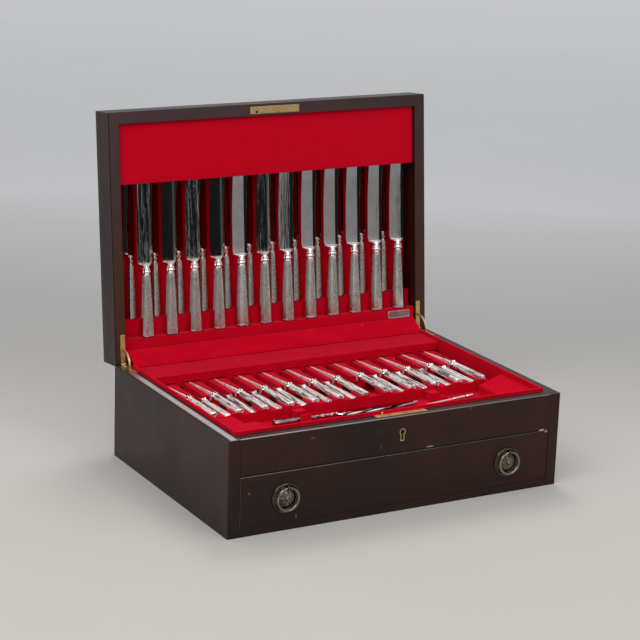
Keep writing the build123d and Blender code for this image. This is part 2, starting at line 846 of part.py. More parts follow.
# ---------------------------------------------------------------- trough cutlery
serving_z = trough_floor_top + seat_gap + serving_handle_height / 2
serving_plane = Plane(origin=(serving_left, serving_y, serving_z), x_dir=(0, 1, 0), z_dir=(1, 0, 0))
serving_turning = []
for ring in serving_shaft_rings:
    serving_turning.append((ring, serving_shaft_radius))
    serving_turning.append((ring + serving_ring_to_groove, serving_shaft_radius - serving_groove))
serving_handle = joined(
    faceted_handle(
        serving_plane,
        serving_handle_length + 1,
        (serving_handle_width, serving_handle_height),
        (serving_handle_width - serving_neck_taper, serving_handle_height),
        serving_handle_cap,
    ),
    turned(serving_plane.offset(serving_handle_length), serving_turning),
)
save(serving_handle, "serving_knife_handle")

serving_blade_left = serving_left + serving_handle_length + serving_shaft_length
with BuildPart() as serving_blade:
    with BuildSketch(Plane.XY.offset(serving_z - serving_blade_thickness / 2)):
        with BuildLine():
            Polyline(
                (serving_blade_left, serving_y - serving_tang_half),
                (serving_blade_left + serving_heel, serving_y - serving_blade_width / 2),
                (serving_right - serving_blade_taper, serving_y - serving_blade_width / 2),
                (serving_right - serving_blade_point, serving_y - serving_blade_width / 6),
                (serving_right, serving_y + serving_blade_width / 5),
                (serving_right - serving_back_taper, serving_y + serving_blade_width / 2),
                (serving_blade_left + serving_back_heel, serving_y + serving_blade_width / 2),
                (serving_blade_left, serving_y + serving_tang_half),
                close=True,
            )
        make_face()
    extrude(amount=serving_blade_thickness)
save(serving_blade, "serving_knife_blade")

skewer_z = trough_floor_top + seat_gap + skewer_radius
skewer_run = Vector(skewer_right - skewer_left, skewer_right_y - skewer_left_y, 0)
skewer_plane = Plane(
    origin=(skewer_left, skewer_left_y, skewer_z), x_dir=(0, 0, 1), z_dir=skewer_run.normalized()
)
skewer = turned(
    skewer_plane,
    (
        (0, skewer_point_radius),
        (skewer_point_length, skewer_radius - skewer_thinning),
        (skewer_run.length - skewer_collar_length, skewer_radius - skewer_thinning),
        (skewer_run.length - skewer_collar_length + skewer_collar_slope, skewer_radius),
        (skewer_run.length, skewer_radius),
    ),
)
save(skewer, "skewer")

# ---------------------------------------------------------------- lock
with BuildPart() as lock_case:
    with BuildSketch(Plane.XY.offset(lock_case_bottom)):
        with Locations((lock_centre, lock_middle_y)):
            Rectangle(lock_case_length, lock_back - lock_front)
    extrude(amount=lock_case_top - lock_case_bottom)
    bolt_bottom = lock_case_top - bolt_gap - bolt_thickness
    cavity_width = lock_back - lock_front - 2 * lock_case_wall
    with BuildSketch(Plane.XY.offset(lock_case_bottom + lock_case_wall)):
        with Locations((lock_centre, lock_middle_y)):
            Rectangle(2 * bolt_ledge_half, cavity_width)
    extrude(amount=lock_case_top - lock_case_bottom - lock_case_wall, mode=Mode.SUBTRACT)
    with BuildSketch(Plane.XY.offset(bolt_bottom - running_clearance)):
        with Locations((lock_centre, lock_middle_y)):
            Rectangle(lock_case_length - 2 * lock_case_wall, cavity_width)
    extrude(amount=lock_case_top - bolt_bottom + running_clearance, mode=Mode.SUBTRACT)
    extrude(keyhole_profile(0), amount=-(wall - lock_case_wall), mode=Mode.SUBTRACT)
save(lock_case, "lock_case")

hook_x = [lock_centre + place for place in hook_places]
with BuildPart() as lock_plate:
    with BuildSketch(Plane.XY.offset(lock_case_top)):
        with Locations((lock_centre, -inner_y - lock_plate_width / 2)):
            Rectangle(lock_plate_length, lock_plate_width)
        with Locations(*[(x, lock_middle_y) for x in hook_x]):
            Rectangle(hook_slot_length, hook_slot_width, mode=Mode.SUBTRACT)
    extrude(amount=lock_plate_thickness)
    with BuildSketch(Plane.XY.offset(base_height)):
        with Locations((lock_centre + locating_pin_place, lock_middle_y)):
            Circle(locating_pin_radius)
    extrude(amount=locating_pin_height)
    chamfer(lock_plate.faces().sort_by(Axis.Z)[-1].edges(), locating_pin_radius / 3)
save(lock_plate, "lock_plate")

with BuildPart() as lock_bolt:
    with BuildSketch(Plane.XY.offset(bolt_bottom)):
        with Locations((lock_centre, lock_middle_y)):
            Rectangle(bolt_length, bolt_width)
        with Locations(*[(x, lock_middle_y) for x in hook_x]):
            Rectangle(hook_slot_length, bolt_window_depth, mode=Mode.SUBTRACT)
    extrude(amount=bolt_thickness)
save(lock_bolt, "lock_bolt")

with BuildPart() as keyhole_liner:
    extrude(keyhole_profile(liner_thickness), amount=-(lock_front + half_depth))
    extrude(keyhole_profile(0), amount=-(lock_front + half_depth), mode=Mode.SUBTRACT)
save(keyhole_liner, "keyhole_liner")


# ---------------------------------------------------------------- hinges
leaf_slot_x = stay_thickness + 2 * knuckle_gap
leaf_slot_length = stay_width + 2 * stay_clearance
leaf_start = knuckle_radius + leaf_clear_of_knuckle


def screw(plane):
    """Countersunk screw driven along the plane's negative normal, its head flush with the plane."""
    with BuildPart() as piece:
        with BuildSketch(plane):
            Circle(screw_head_radius)
        with BuildSketch(plane.offset(-(screw_head_radius - screw_shank_radius))):
            Circle(screw_shank_radius)
        loft()
        with BuildSketch(plane.offset(-(screw_head_radius - screw_shank_radius))):
            Circle(screw_shank_radius)
        extrude(amount=-(screw_length - screw_head_radius))
        with BuildSketch(plane):
            Rectangle(2 * screw_head_radius, 2 * screw_slot_depth)
        extrude(amount=-screw_slot_depth, mode=Mode.SUBTRACT)
    return piece


def countersunk(plane, thickness):
    """Solid that a countersunk screw takes out of a plate of this thickness."""
    with BuildPart() as piece:
        with BuildSketch(plane):
            Circle(screw_head_radius)
        with BuildSketch(plane.offset(-(screw_head_radius - screw_shank_radius))):
            Circle(screw_shank_radius)
        loft()
        with BuildSketch(plane.offset(-thickness)):
            Circle(screw_shank_radius)
        extrude(amount=thickness)
    return piece


def leaf(plane, toward, knuckle_spans):
    """Hinge leaf at x = 0: plate recessed below the plane, and its knuckles about the hinge axis."""
    with BuildPart() as piece:
        with BuildSketch(plane.offset(-leaf_thickness)):
            with Locations((0, toward * (leaf_start + leaf_length) / 2)):
                Rectangle(leaf_width, leaf_length - leaf_start)
            for span in knuckle_spans:
                with Locations((sum(span) / 2, toward * leaf_start / 2)):
                    Rectangle(span[1] - span[0], leaf_start)
            with Locations((0, toward * stay_radius)):
                Rectangle(leaf_slot_x, leaf_slot_length, mode=Mode.SUBTRACT)
        extrude(amount=leaf_thickness)
        for span in knuckle_spans:
            extrude(hinge_disc(span[0], knuckle_radius), amount=span[1] - span[0])
        pin_hole = hinge_disc(-leaf_width / 2, hinge_pin_radius + running_clearance)
        extrude(pin_hole, amount=leaf_width, mode=Mode.SUBTRACT)
        for distance in leaf_screw_distances:
            seat = Plane(plane.origin + plane.y_dir * toward * distance, plane.x_dir, plane.z_dir)
            add(countersunk(seat, leaf_thickness).part, mode=Mode.SUBTRACT)
    return piece


base_rim = Plane(origin=(0, pivot_y, base_height), x_dir=(1, 0, 0), z_dir=(0, 0, 1))
lid_rim = lid_plane(0)
outer_knuckle = middle_knuckle / 2 + knuckle_gap
base_leaf = leaf(base_rim, -1, [(-middle_knuckle / 2, middle_knuckle / 2)])
lid_leaf = leaf(lid_rim, 1, [(-leaf_width / 2, -outer_knuckle), (outer_knuckle, leaf_width / 2)])
save(row(base_leaf, (-hinge_x, hinge_x)), "base_hinge_leaves")
save(row(lid_leaf, (-hinge_x, hinge_x)), "lid_hinge_leaves")

with BuildPart() as hinge_pin:
    extrude(hinge_disc(-leaf_width / 2, hinge_pin_radius), amount=leaf_width)
save(row(hinge_pin, (-hinge_x, hinge_x)), "hinge_pins")


def arc_band(start, size, half_band):
    """Band of the stay's arc about the hinge axis, between two angles."""
    with BuildSketch(Plane.YZ.offset(-stay_thickness / 2)) as band:
        with BuildLine():
            outer = CenterArc((pivot_y, pivot_z), stay_radius + half_band, start, size)
            inner = CenterArc((pivot_y, pivot_z), stay_radius - half_band, start, size)
            Line(outer @ 0, inner @ 0)
            Line(outer @ 1, inner @ 1)
        make_face()
    return band.sketch


with BuildPart() as stay:
    lid_side_angle = 90 - math.degrees(lean) - stay_overrun
    base_side_angle = 180 + stay_overrun
    head_band = stay_width / 2 + stay_head
    stay_sweep = base_side_angle - lid_side_angle
    extrude(arc_band(lid_side_angle, stay_sweep, stay_width / 2), amount=stay_thickness)
    extrude(arc_band(lid_side_angle, stay_head_angle, head_band), amount=stay_thickness)
    extrude(arc_band(base_side_angle - stay_head_angle, stay_head_angle, head_band), amount=stay_thickness)
save(row(stay, (-hinge_x, hinge_x)), "hinge_stays")


def leaf_screws(plane, toward):
    """The two screws of the leaf at x = 0."""
    with BuildPart() as pair:
        for distance in leaf_screw_distances:
            seat = Plane(plane.origin + plane.y_dir * toward * distance, plane.x_dir, plane.z_dir)
            add(screw(seat).part)
    return pair


save(row(leaf_screws(base_rim, -1), (-hinge_x, hinge_x)), "base_hinge_screws")

# ---------------------------------------------------------------- lid carcass
staple_height = pivot_y - lock_middle_y + pivot_inset
staple_plate_middle = chest_depth - wall / 2 - staple_plate_inset
link_screws = [(lock_centre + place, up_lid(staple_plate_middle)) for place in link_screw_places]


def make_lid_side():
    """Left side of the lid, with the leaf's recess and the stay's mortise in its rim."""
    with BuildPart() as side:
        with BuildSketch(lid_plane(lid_inside)):
            with Locations((-(half_width + inner_x) / 2, up_lid(chest_depth / 2))):
                Rectangle(wall, chest_depth)
        extrude(amount=lid_inside)
        rim = side.faces().sort_by(Axis(rim_plane.origin, rim_plane.z_dir))[-1]
        chamfer(rim.edges().sort_by(Axis(rim_plane.origin, rim_plane.y_dir))[0], back_chamfer)
        with BuildSketch(lid_rim):
            with Locations((-hinge_x, leaf_length / 2)):
                Rectangle(leaf_width, leaf_length)
        extrude(amount=-leaf_thickness, mode=Mode.SUBTRACT)
        with BuildSketch(lid_rim):
            with Locations((-hinge_x, (mortise_near + mortise_far) / 2)):
                Rectangle(mortise_width, mortise_far - mortise_near)
        extrude(amount=-mortise_depth, mode=Mode.SUBTRACT)
        recess = hinge_disc(-hinge_x - leaf_width / 2 - knuckle_gap, knuckle_radius + knuckle_gap)
        extrude(recess, amount=leaf_width + 2 * knuckle_gap, mode=Mode.SUBTRACT)
        with BuildSketch(lid_rim):
            with Locations(*[(-hinge_x, d) for d in leaf_screw_distances]):
                Circle(screw_shank_radius)
        extrude(amount=-(screw_length + leaf_thickness), mode=Mode.SUBTRACT)
    return side


lid_side_left = make_lid_side()
save(lid_side_left, "lid_side_left")
with BuildPart() as lid_side_right:
    mirror(lid_side_left.part, about=Plane.YZ)
save(lid_side_right, "lid_side_right")

with BuildPart() as lid_back_rail:
    with BuildSketch(lid_plane(lid_inside)):
        with Locations((0, up_lid(wall / 2))):
            Rectangle(2 * inner_x, wall)
    extrude(amount=lid_inside)
    rail_rim = lid_back_rail.faces().sort_by(Axis(rim_plane.origin, rim_plane.z_dir))[-1]
    chamfer(rail_rim.edges().sort_by(Axis(rim_plane.origin, rim_plane.y_dir))[0], back_chamfer)
save(lid_back_rail, "lid_back_rail")

with BuildPart() as lid_front_rail:
    with BuildSketch(lid_plane(lid_inside)):
        with Locations((0, up_lid(chest_depth - wall / 2))):
            Rectangle(2 * inner_x, wall)
    extrude(amount=lid_inside)
    with BuildSketch(lid_rim):
        with Locations((lock_centre, up_lid(staple_plate_middle))):
            Rectangle(lock_plate_length, lock_plate_width)
    extrude(amount=-lock_plate_thickness, mode=Mode.SUBTRACT)
    with BuildSketch(lid_rim):
        with Locations((lock_centre + locating_pin_place, up_lid(staple_height))):
            Circle(locating_pin_radius + hook_clearance)
    extrude(amount=-(locating_pin_height + hook_clearance), mode=Mode.SUBTRACT)
    with BuildSketch(lid_rim):
        with Locations(*link_screws):
            Circle(screw_shank_radius)
    extrude(amount=-screw_length, mode=Mode.SUBTRACT)
save(lid_front_rail, "lid_front_rail")

with BuildPart() as lid_panel:
    with BuildSketch(lid_plane(lid_height)):
        with Locations((0, up_lid(chest_depth / 2))):
            Rectangle(chest_width, chest_depth)
    extrude(amount=lid_panel_thickness)
    outside = lid_panel.faces().sort_by(Axis(rim_plane.origin, rim_plane.z_dir))[0]
    fillet(outside.edges(), edge_round)
save(lid_panel, "lid_panel")

with BuildPart() as staple_plate:
    with BuildSketch(lid_rim.offset(-lock_plate_thickness)):
        with Locations((lock_centre, up_lid(staple_plate_middle))):
            Rectangle(lock_plate_length, lock_plate_width)
        with Locations((lock_centre + locating_pin_place, up_lid(staple_height))):
            Circle(locating_pin_radius + hook_clearance, mode=Mode.SUBTRACT)
    extrude(amount=lock_plate_thickness)
    for x, height in link_screws:
        seat = Plane(lid_rim.from_local_coords((x, height, 0)), lid_rim.x_dir, lid_rim.z_dir)
        add(countersunk(seat, lock_plate_thickness).part, mode=Mode.SUBTRACT)
    with BuildSketch(lid_rim):
        with Locations(*[(x - hook_toe / 2, up_lid(staple_height)) for x in hook_x]):
            Rectangle(hook_post, hook_thickness)
    extrude(amount=hook_length)
    with BuildSketch(lid_rim.offset(hook_length - hook_toe_height)):
        with Locations(*[(x, up_lid(staple_height)) for x in hook_x]):
            Rectangle(hook_post + hook_toe, hook_thickness)
    extrude(amount=hook_toe_height)
save(staple_plate, "staple_plate")

with BuildPart() as lid_screws:
    for x in (-hinge_x, hinge_x):
        for distance in leaf_screw_distances:
            add(screw(Plane(lid_rim.from_local_coords((x, distance, 0)), lid_rim.x_dir, lid_rim.z_dir)).part)
    for x, height in link_screws:
        add(screw(Plane(lid_rim.from_local_coords((x, height, 0)), lid_rim.x_dir, lid_rim.z_dir)).part)
save(lid_screws, "lid_screws")

# ---------------------------------------------------------------- lid fittings
rack_start = wall + rack_gap
lid_lining = lid_board((-inner_x, inner_x), (wall, chest_depth - wall), (lid_floor, lid_inside))
save(lid_lining, "lid_lining")

pad_side = inner_x - pad_side_gap
tip_pad = lid_board((-pad_side, pad_side), (pad_start, pad_end), (lid_recess, lid_recess + pad_thickness))
save(tip_pad, "tip_pad")
pad_batten = lid_board(
    (-pad_side, pad_side), (pad_end - batten_width, pad_end), (lid_recess + pad_thickness, lid_floor)
)
save(pad_batten, "pad_batten")

with BuildPart() as table_rack:
    add(lid_board((-pad_side, pad_side), (rack_start, table_rack_top), (lid_recess, table_rack_back)).part)
    with BuildSketch(lid_plane(table_rack_back)):
        with Locations(*[(x, up_lid(table_rack_top)) for x in table_knives_x]):
            Rectangle(table_end_width + butt_side_room, 2 * butt_hollow_depth)
    extrude(amount=table_rack_back - lid_recess, mode=Mode.SUBTRACT)
save(table_rack, "table_rack")

with BuildPart() as dessert_rack:
    add(lid_board((-pad_side, pad_side), (rack_start, dessert_rack_top), (table_rack_back, lid_floor)).part)
    with BuildSketch(lid_plane(lid_floor)):
        with Locations(*[(x, up_lid(dessert_rack_top)) for x in dessert_knives_x]):
            Rectangle(dessert_end_width + butt_side_room, 2 * butt_hollow_depth)
    extrude(amount=lid_floor - table_rack_back, mode=Mode.SUBTRACT)
save(dessert_rack, "dessert_rack")

with BuildPart() as name_plate:
    with BuildSketch(lid_plane(lid_recess)):
        with Locations((half_width - plaque_from_right, up_lid(plaque_low + plaque_height / 2))):
            RectangleRounded(plaque_width, plaque_height, plaque_corner)
    extrude(amount=plaque_thickness)
save(name_plate, "name_plate")


# ---------------------------------------------------------------- lid cutlery
def up_axis(height, depth):
    """Plane at x = 0 facing up the lid, at a height and depth."""
    origin = rim_plane.from_local_coords((0, up_lid(height), -rim_gap / 2 - depth))
    return Plane(origin=origin, x_dir=(1, 0, 0), z_dir=rim_plane.y_dir)


def lid_blade(foot, depth, width, tip, thickness):
    """Flat blade with a sloping shoulder on one side and a rounded tip."""
    left = -width * 0.6
    right = width * 0.4
    with BuildPart() as blade:
        with BuildSketch(lid_plane(depth + thickness / 2)):
            with BuildLine():
                foot_y = up_lid(foot)
                length = tip - foot
                neck = width / 5
                Polyline(
                    (right * 0.3, foot_y + length),
                    (left * 0.6, foot_y + length - width * 0.25),
                    (left, foot_y + length - width),
                    (left, foot_y + width * 0.45),
                    (-neck, foot_y),
                    (neck, foot_y),
                    (right, foot_y + 2),
                    (right, foot_y + length - width * 0.2),
                    close=True,
                )
            make_face()
        extrude(amount=thickness)
    return blade


butt = table_rack_top - butt_hollow_depth + seat_gap
table_handle = joined(
    faceted_handle(
        up_axis(butt, table_knife_depth),
        table_handle_length + handle_sunk_in_ferrule,
        (table_end_width, table_handle_thickness),
        (table_neck_width, table_neck_width - 3),
        table_handle_cap,
    ),
    turned(
        up_axis(butt + table_handle_length, table_knife_depth),
        (
            *ferrule_turning,
            (ferrule_length + bell_length / 2, bell_radii[0]),
            (ferrule_length + bell_length, bell_radii[1]),
            (ferrule_length + bell_length + bell_lip, bell_radii[1]),
        ),
    ),
)
save(row(table_handle, table_knives_x), "table_knife_handles")
table_blade_foot = butt + table_handle_length + ferrule_length + bell_length + bell_lip
table_blade = lid_blade(
    table_blade_foot,
    table_knife_depth,
    table_blade_width,
    blade_limit - table_tip_room,
    table_blade_thickness,
)
save(row(table_blade, table_knives_x), "table_knife_blades")

dessert_butt = dessert_rack_top - butt_hollow_depth + seat_gap
dessert_handle = joined(
    faceted_handle(
        up_axis(dessert_butt, dessert_knife_depth),
        dessert_handle_length + handle_sunk_in_ferrule,
        (dessert_end_width, dessert_handle_thickness),
        (dessert_neck_width, dessert_neck_width - 1),
        dessert_handle_cap,
    ),
    turned(
        up_axis(dessert_butt + dessert_handle_length, dessert_knife_depth),
        (*dessert_ferrule_turning, *dessert_bell_turning),
    ),
)
save(row(dessert_handle, dessert_knives_x), "dessert_knife_handles")
dessert_blade = lid_blade(
    dessert_butt + dessert_handle_length + dessert_ferrule_length,
    dessert_knife_depth,
    dessert_blade_width,
    blade_limit - dessert_tip_room,
    dessert_blade_thickness,
)
save(row(dessert_blade, dessert_knives_x), "dessert_knife_blades")

# ---------------------------------------------------------------- hinge cloth
with BuildPart() as hinge_cloth:
    with BuildSketch(Plane.YZ.offset(-(inner_x - cloth_side_gap))):
        cloth_bottom = (inner_y + cloth_base_inset, base_height + cloth_above_base + cloth_thickness / 2)
        over_rim = rim_plane.from_local_coords(
            (0, up_lid(wall) + cloth_above_base, cloth_thickness / 2 + cloth_above_lid)
        )
        in_lid = rim_plane.from_local_coords((0, up_lid(cloth_lid_height), -rim_gap / 2 - cloth_lid_depth))
        with BuildLine():
            cloth_line = Polyline(cloth_bottom, (over_rim.Y, over_rim.Z), (in_lid.Y, in_lid.Z))
            offset(cloth_line, amount=cloth_thickness / 2, side=Side.BOTH)
        make_face()
    extrude(amount=2 * (inner_x - cloth_side_gap))
save(hinge_cloth, "hinge_cloth")

# ---------------------------------------------------------------- drawer
drawer_low = bottom_thickness + drawer_rest_gap
drawer_half = inner_x - drawer_side_gap
pull_x = half_width - pull_from_side
pull_height = (bottom_thickness + drawer_top) / 2 - pull_below_middle
with BuildPart() as drawer_front:
    front_heights = (drawer_low, drawer_top - drawer_gap)
    add(board((-drawer_half, drawer_half), (-half_depth, -inner_y), front_heights).part)
    with BuildSketch(Plane.XZ.offset(half_depth)):
        with Locations((-pull_x, pull_height), (pull_x, pull_height)):
            Circle(shank_radius)
    extrude(amount=-wall, mode=Mode.SUBTRACT)
save(drawer_front, "drawer_front")

side_top = drawer_top - drawer_side_drop
drawer_back_y = inner_y - drawer_back_gap
drawer_inside = drawer_half - drawer_side_thickness
side_heights = (drawer_low, side_top)
drawer_side_left = board((-drawer_half, -drawer_inside), (-inner_y, drawer_back_y), side_heights)
save(drawer_side_left, "drawer_side_left")
drawer_side_right = board((drawer_inside, drawer_half), (-inner_y, drawer_back_y), side_heights)
save(drawer_side_right, "drawer_side_right")
back_start = drawer_back_y - drawer_side_thickness
drawer_back = board((-drawer_inside, drawer_inside), (back_start, drawer_back_y), side_heights)
save(drawer_back, "drawer_back")
board_low = drawer_low + drawer_bottom_raise
board_high = board_low + drawer_bottom_thickness
drawer_bottom = board((-drawer_inside, drawer_inside), (-inner_y, back_start), (board_low, board_high))
save(drawer_bottom, "drawer_bottom")

with BuildPart() as drawer_lining:
    with BuildSketch(Plane.XY.offset(board_high)):
        with Locations((0, (back_start - inner_y) / 2)):
            Rectangle(2 * drawer_inside, back_start + inner_y)
    extrude(amount=drawer_lining_thickness)
    drawer_notch_pitch = (2 * drawer_inside - drawer_notch_margin) / (drawer_notches - 1)
    for distance in drawer_rack_distances:
        with BuildSketch(Plane.XZ.offset(inner_y - distance)):
            with Locations((0, board_high + drawer_lining_thickness + drawer_rack_height / 2)):
                Rectangle(2 * drawer_inside, drawer_rack_height)
            with Locations((0, board_high + drawer_lining_thickness + drawer_rack_height)):
                with GridLocations(drawer_notch_pitch, 1, drawer_notches, 1):
                    Circle(drawer_notch_radius, mode=Mode.SUBTRACT)
        extrude(amount=-drawer_rack_depth)
save(drawer_lining, "drawer_lining")

# ---------------------------------------------------------------- ring pulls
lug_z = pull_height + ring_radius
ring_y = -half_depth - ring_stand_off
with BuildPart() as backplate:
    with BuildSketch(Plane.XZ.offset(half_depth)):
        with Locations((0, pull_height)):
            Circle(backplate_radius)
            Circle(shank_radius, mode=Mode.SUBTRACT)
    extrude(amount=backplate_thickness)
    with BuildSketch(Plane.XZ.offset(half_depth + backplate_thickness)):
        with Locations((0, pull_height)):
            Circle(backplate_radius - backplate_rim_inset)
            Circle(backplate_radius - backplate_rim_inset - backplate_rim_width, mode=Mode.SUBTRACT)
    extrude(amount=backplate_rim)
    with BuildSketch(Plane.YZ.offset(-lug_width / 2)):
        with Locations((ring_y, lug_z)):
            Circle(lug_radius)
        with Locations(((ring_y - half_depth - backplate_thickness / 2) / 2, lug_z)):
            Rectangle(ring_stand_off - backplate_thickness / 2, 2 * lug_radius - lug_root_step)
    extrude(amount=lug_width)
    with BuildSketch(Plane.YZ.offset(-lug_width / 2)):
        with Locations((ring_y, lug_z)):
            Circle(ring_wire_radius + ring_clearance)
    extrude(amount=lug_width, mode=Mode.SUBTRACT)
save(row(backplate, (-pull_x, pull_x)), "pull_backplates")

post_plane = Plane(origin=(0, -inner_y + nut_thickness, pull_height), x_dir=(1, 0, 0), z_dir=(0, -1, 0))
rosette_foot = nut_thickness + wall + backplate_thickness
rosette_top = rosette_foot + rosette_height
post = turned(
    post_plane,
    (
        (0, nut_radius),
        (nut_thickness, nut_radius),
        (nut_thickness, shank_radius),
        (rosette_foot, shank_radius),
        (rosette_foot, rosette_radius),
        (rosette_foot + rosette_height / 2, rosette_radius - rosette_edge),
        (rosette_top, bead_radius + bead_seat),
        (rosette_top, bead_radius),
        (rosette_top + bead_radius, bead_radius / 2),
    ),
)
save(row(post, (-pull_x, pull_x)), "pull_posts")


def pull_ring(x):
    """Ring hanging in the lug of its back plate."""
    with BuildPart() as ring:
        with Locations(Plane(origin=(x, ring_y, pull_height), x_dir=(1, 0, 0), z_dir=(0, -1, 0))):
            Torus(ring_radius, ring_wire_radius)
    return ring


save(pull_ring(-pull_x), "pull_ring_left")
save(pull_ring(pull_x), "pull_ring_right")
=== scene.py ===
"""Silverware chest: looks of the case, its velvet, its cutlery and its brass, on a studio floor.

The scene is in metres and the shapes are in millimetres. A point of the open lid is given by its
place across, its height up the lid from the hinge side and its depth behind the lid's rim.
"""
import math
from collections import namedtuple

import bmesh
import bpy
import numpy as np
from mathutils import Matrix, Vector


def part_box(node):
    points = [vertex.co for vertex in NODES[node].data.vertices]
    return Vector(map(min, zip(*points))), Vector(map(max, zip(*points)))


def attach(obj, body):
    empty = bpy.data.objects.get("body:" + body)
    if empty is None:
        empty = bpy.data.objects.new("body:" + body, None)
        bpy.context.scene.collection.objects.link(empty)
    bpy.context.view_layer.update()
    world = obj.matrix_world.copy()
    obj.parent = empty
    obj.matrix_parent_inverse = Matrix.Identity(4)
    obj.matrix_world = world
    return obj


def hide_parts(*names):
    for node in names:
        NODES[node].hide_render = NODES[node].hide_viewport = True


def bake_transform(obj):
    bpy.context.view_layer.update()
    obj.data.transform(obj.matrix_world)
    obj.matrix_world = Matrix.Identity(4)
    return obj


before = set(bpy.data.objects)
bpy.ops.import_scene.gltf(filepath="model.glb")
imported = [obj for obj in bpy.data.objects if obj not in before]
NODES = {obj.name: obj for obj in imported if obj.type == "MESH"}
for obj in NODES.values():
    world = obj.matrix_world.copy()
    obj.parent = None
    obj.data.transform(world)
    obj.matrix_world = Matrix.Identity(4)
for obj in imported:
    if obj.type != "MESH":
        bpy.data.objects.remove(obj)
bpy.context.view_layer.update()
MM = 0.001

# ---------------- places shared with the solids, in mm
PIVOT_Y = 158.2
PIVOT_Z = 120.2
PIVOT_INSET = 1.8
RIM_GAP = 0.2
LEAN = math.radians(5.5)
LID_RIGHT = (1.0, 0.0, 0.0)
LID_UP = (0.0, math.sin(LEAN), math.cos(LEAN))
LID_OUT = (0.0, -math.cos(LEAN), math.sin(LEAN))
PLACES = 12
LID_PITCH = 33.9
TRAY_FIRST = -191.7
TRAY_PITCH = 34.7
KNIFE_END = -45.0
KNIFE_Z = 110.6
FORK_END = -44.0
FORK_Z = 106.35
FORK_HEAD_Z = 87.0
FORK_FROM_KNIFE = 14.7
FORKLESS_PLACES = (0, 7)
TROUGH_FLOOR = 95.0
TROUGH_MIDDLE = -65.0
FRONT_Y = -160.0
PULL_X = 154.5
PULL_Z = 40.25

# ---------------- camera and lamps
CAMERA_PLACE = Vector((-1.247495, -2.139184, 0.887271))
CAMERA_YAW = math.radians(29.732)
CAMERA_PITCH = math.radians(15.607)
CAMERA_ROLL = math.radians(2.009)
CAMERA_LENS = 116.53
CAMERA_REACH = 60.0
SENSOR_WIDTH = 36.0

Lamp = namedtuple("Lamp", "name place aim size watts")
LAMPS = (
    Lamp("key_lamp", (-1.9, -1.1, 2.7), (0.0, 0.0, 0.15), 1.9, 34.0),
    Lamp("front_lamp", (0.6, -2.6, 2.4), (0.0, 0.0, 0.2), 1.6, 18.0),
    Lamp("top_lamp", (0.35, 0.75, 1.70), (0.0, -0.02, 0.11), 0.60, 6.5),
)


def make_camera():
    """Camera looking along yaw and pitch, then rolled about its own axis."""
    forward = Vector((
        math.sin(CAMERA_YAW) * math.cos(CAMERA_PITCH),
        math.cos(CAMERA_YAW) * math.cos(CAMERA_PITCH),
        -math.sin(CAMERA_PITCH),
    ))
    level = Vector((math.cos(CAMERA_YAW), -math.sin(CAMERA_YAW), 0.0))
    upright = level.cross(forward)
    right = level * math.cos(CAMERA_ROLL) + upright * math.sin(CAMERA_ROLL)
    up = upright * math.cos(CAMERA_ROLL) - level * math.sin(CAMERA_ROLL)
    data = bpy.data.cameras.new("camera")
    data.lens = CAMERA_LENS
    data.sensor_width = SENSOR_WIDTH
    data.clip_end = CAMERA_REACH
    camera = bpy.data.objects.new("camera", data)
    camera.matrix_world = Matrix((
        (right.x, up.x, -forward.x, CAMERA_PLACE.x),
        (right.y, up.y, -forward.y, CAMERA_PLACE.y),
        (right.z, up.z, -forward.z, CAMERA_PLACE.z),
        (0.0, 0.0, 0.0, 1.0),
    ))
    bpy.context.scene.collection.objects.link(camera)
    bpy.context.scene.camera = camera


def make_lamp(lamp):
    """Soft square lamp at a place, facing a point."""
    data = bpy.data.lights.new(lamp.name, "AREA")
    data.size = lamp.size
    data.energy = lamp.watts
    made = bpy.data.objects.new(lamp.name, data)
    made.location = lamp.place
    made.rotation_mode = "QUATERNION"
    made.rotation_quaternion = (Vector(lamp.aim) - Vector(lamp.place)).to_track_quat("-Z", "Y")
    made.visible_camera = False
    bpy.context.scene.collection.objects.link(made)


# ---------------- node helpers
def feed(tree, sockets, fed):
    """Gives sockets, in order or by name, a number, a colour, a vector or another node's output."""
    for label, value in fed.items() if isinstance(fed, dict) else enumerate(fed):
        socket = sockets[label]
        if isinstance(value, bpy.types.NodeSocket):
            tree.links.new(value, socket)
        elif socket.type == "RGBA":
            socket.default_value = (*value, 1.0)
        else:
            socket.default_value = value


def add_node(tree, kind, fed=(), **settings):
    """Adds a node with its settings, feeds its sockets and gives its outputs."""
    made = tree.nodes.new("ShaderNode" + kind)
    for key, value in settings.items():
        setattr(made, key, value)
    feed(tree, made.inputs, fed)
    return made.outputs


def arithmetic(tree, operation, first, second, clamp=False):
    """Outcome of one sum; an operand is a number or an output."""
    return add_node(tree, "Math", (first, second), operation=operation, use_clamp=clamp)[0]


def product(tree, *factors):
    """All factors multiplied together."""
    result = factors[0]
    for factor in factors[1:]:
        result = arithmetic(tree, "MULTIPLY", result, factor)
    return result


def total(tree, *terms, clamp=False):
    """All terms added up, held to 0 to 1 at the end where asked."""
    result = terms[0]
    for count, term in enumerate(terms[1:], 2):
        result = arithmetic(tree, "ADD", result, term, clamp and count == len(terms))
    return result


def slope(tree, value, start, gain):
    """Mask that leaves 0 at a start and grows by a gain, or below the start where the gain is negative."""
    return arithmetic(tree, "MULTIPLY", arithmetic(tree, "SUBTRACT", value, start), gain, clamp=True)


def window(tree, value, low, high, soft):
    """Mask that is 1 between two values and fades over a soft width outside them."""
    rise = slope(tree, value, low - soft, 1 / soft)
    return product(tree, rise, slope(tree, value, high + soft, -1 / soft))


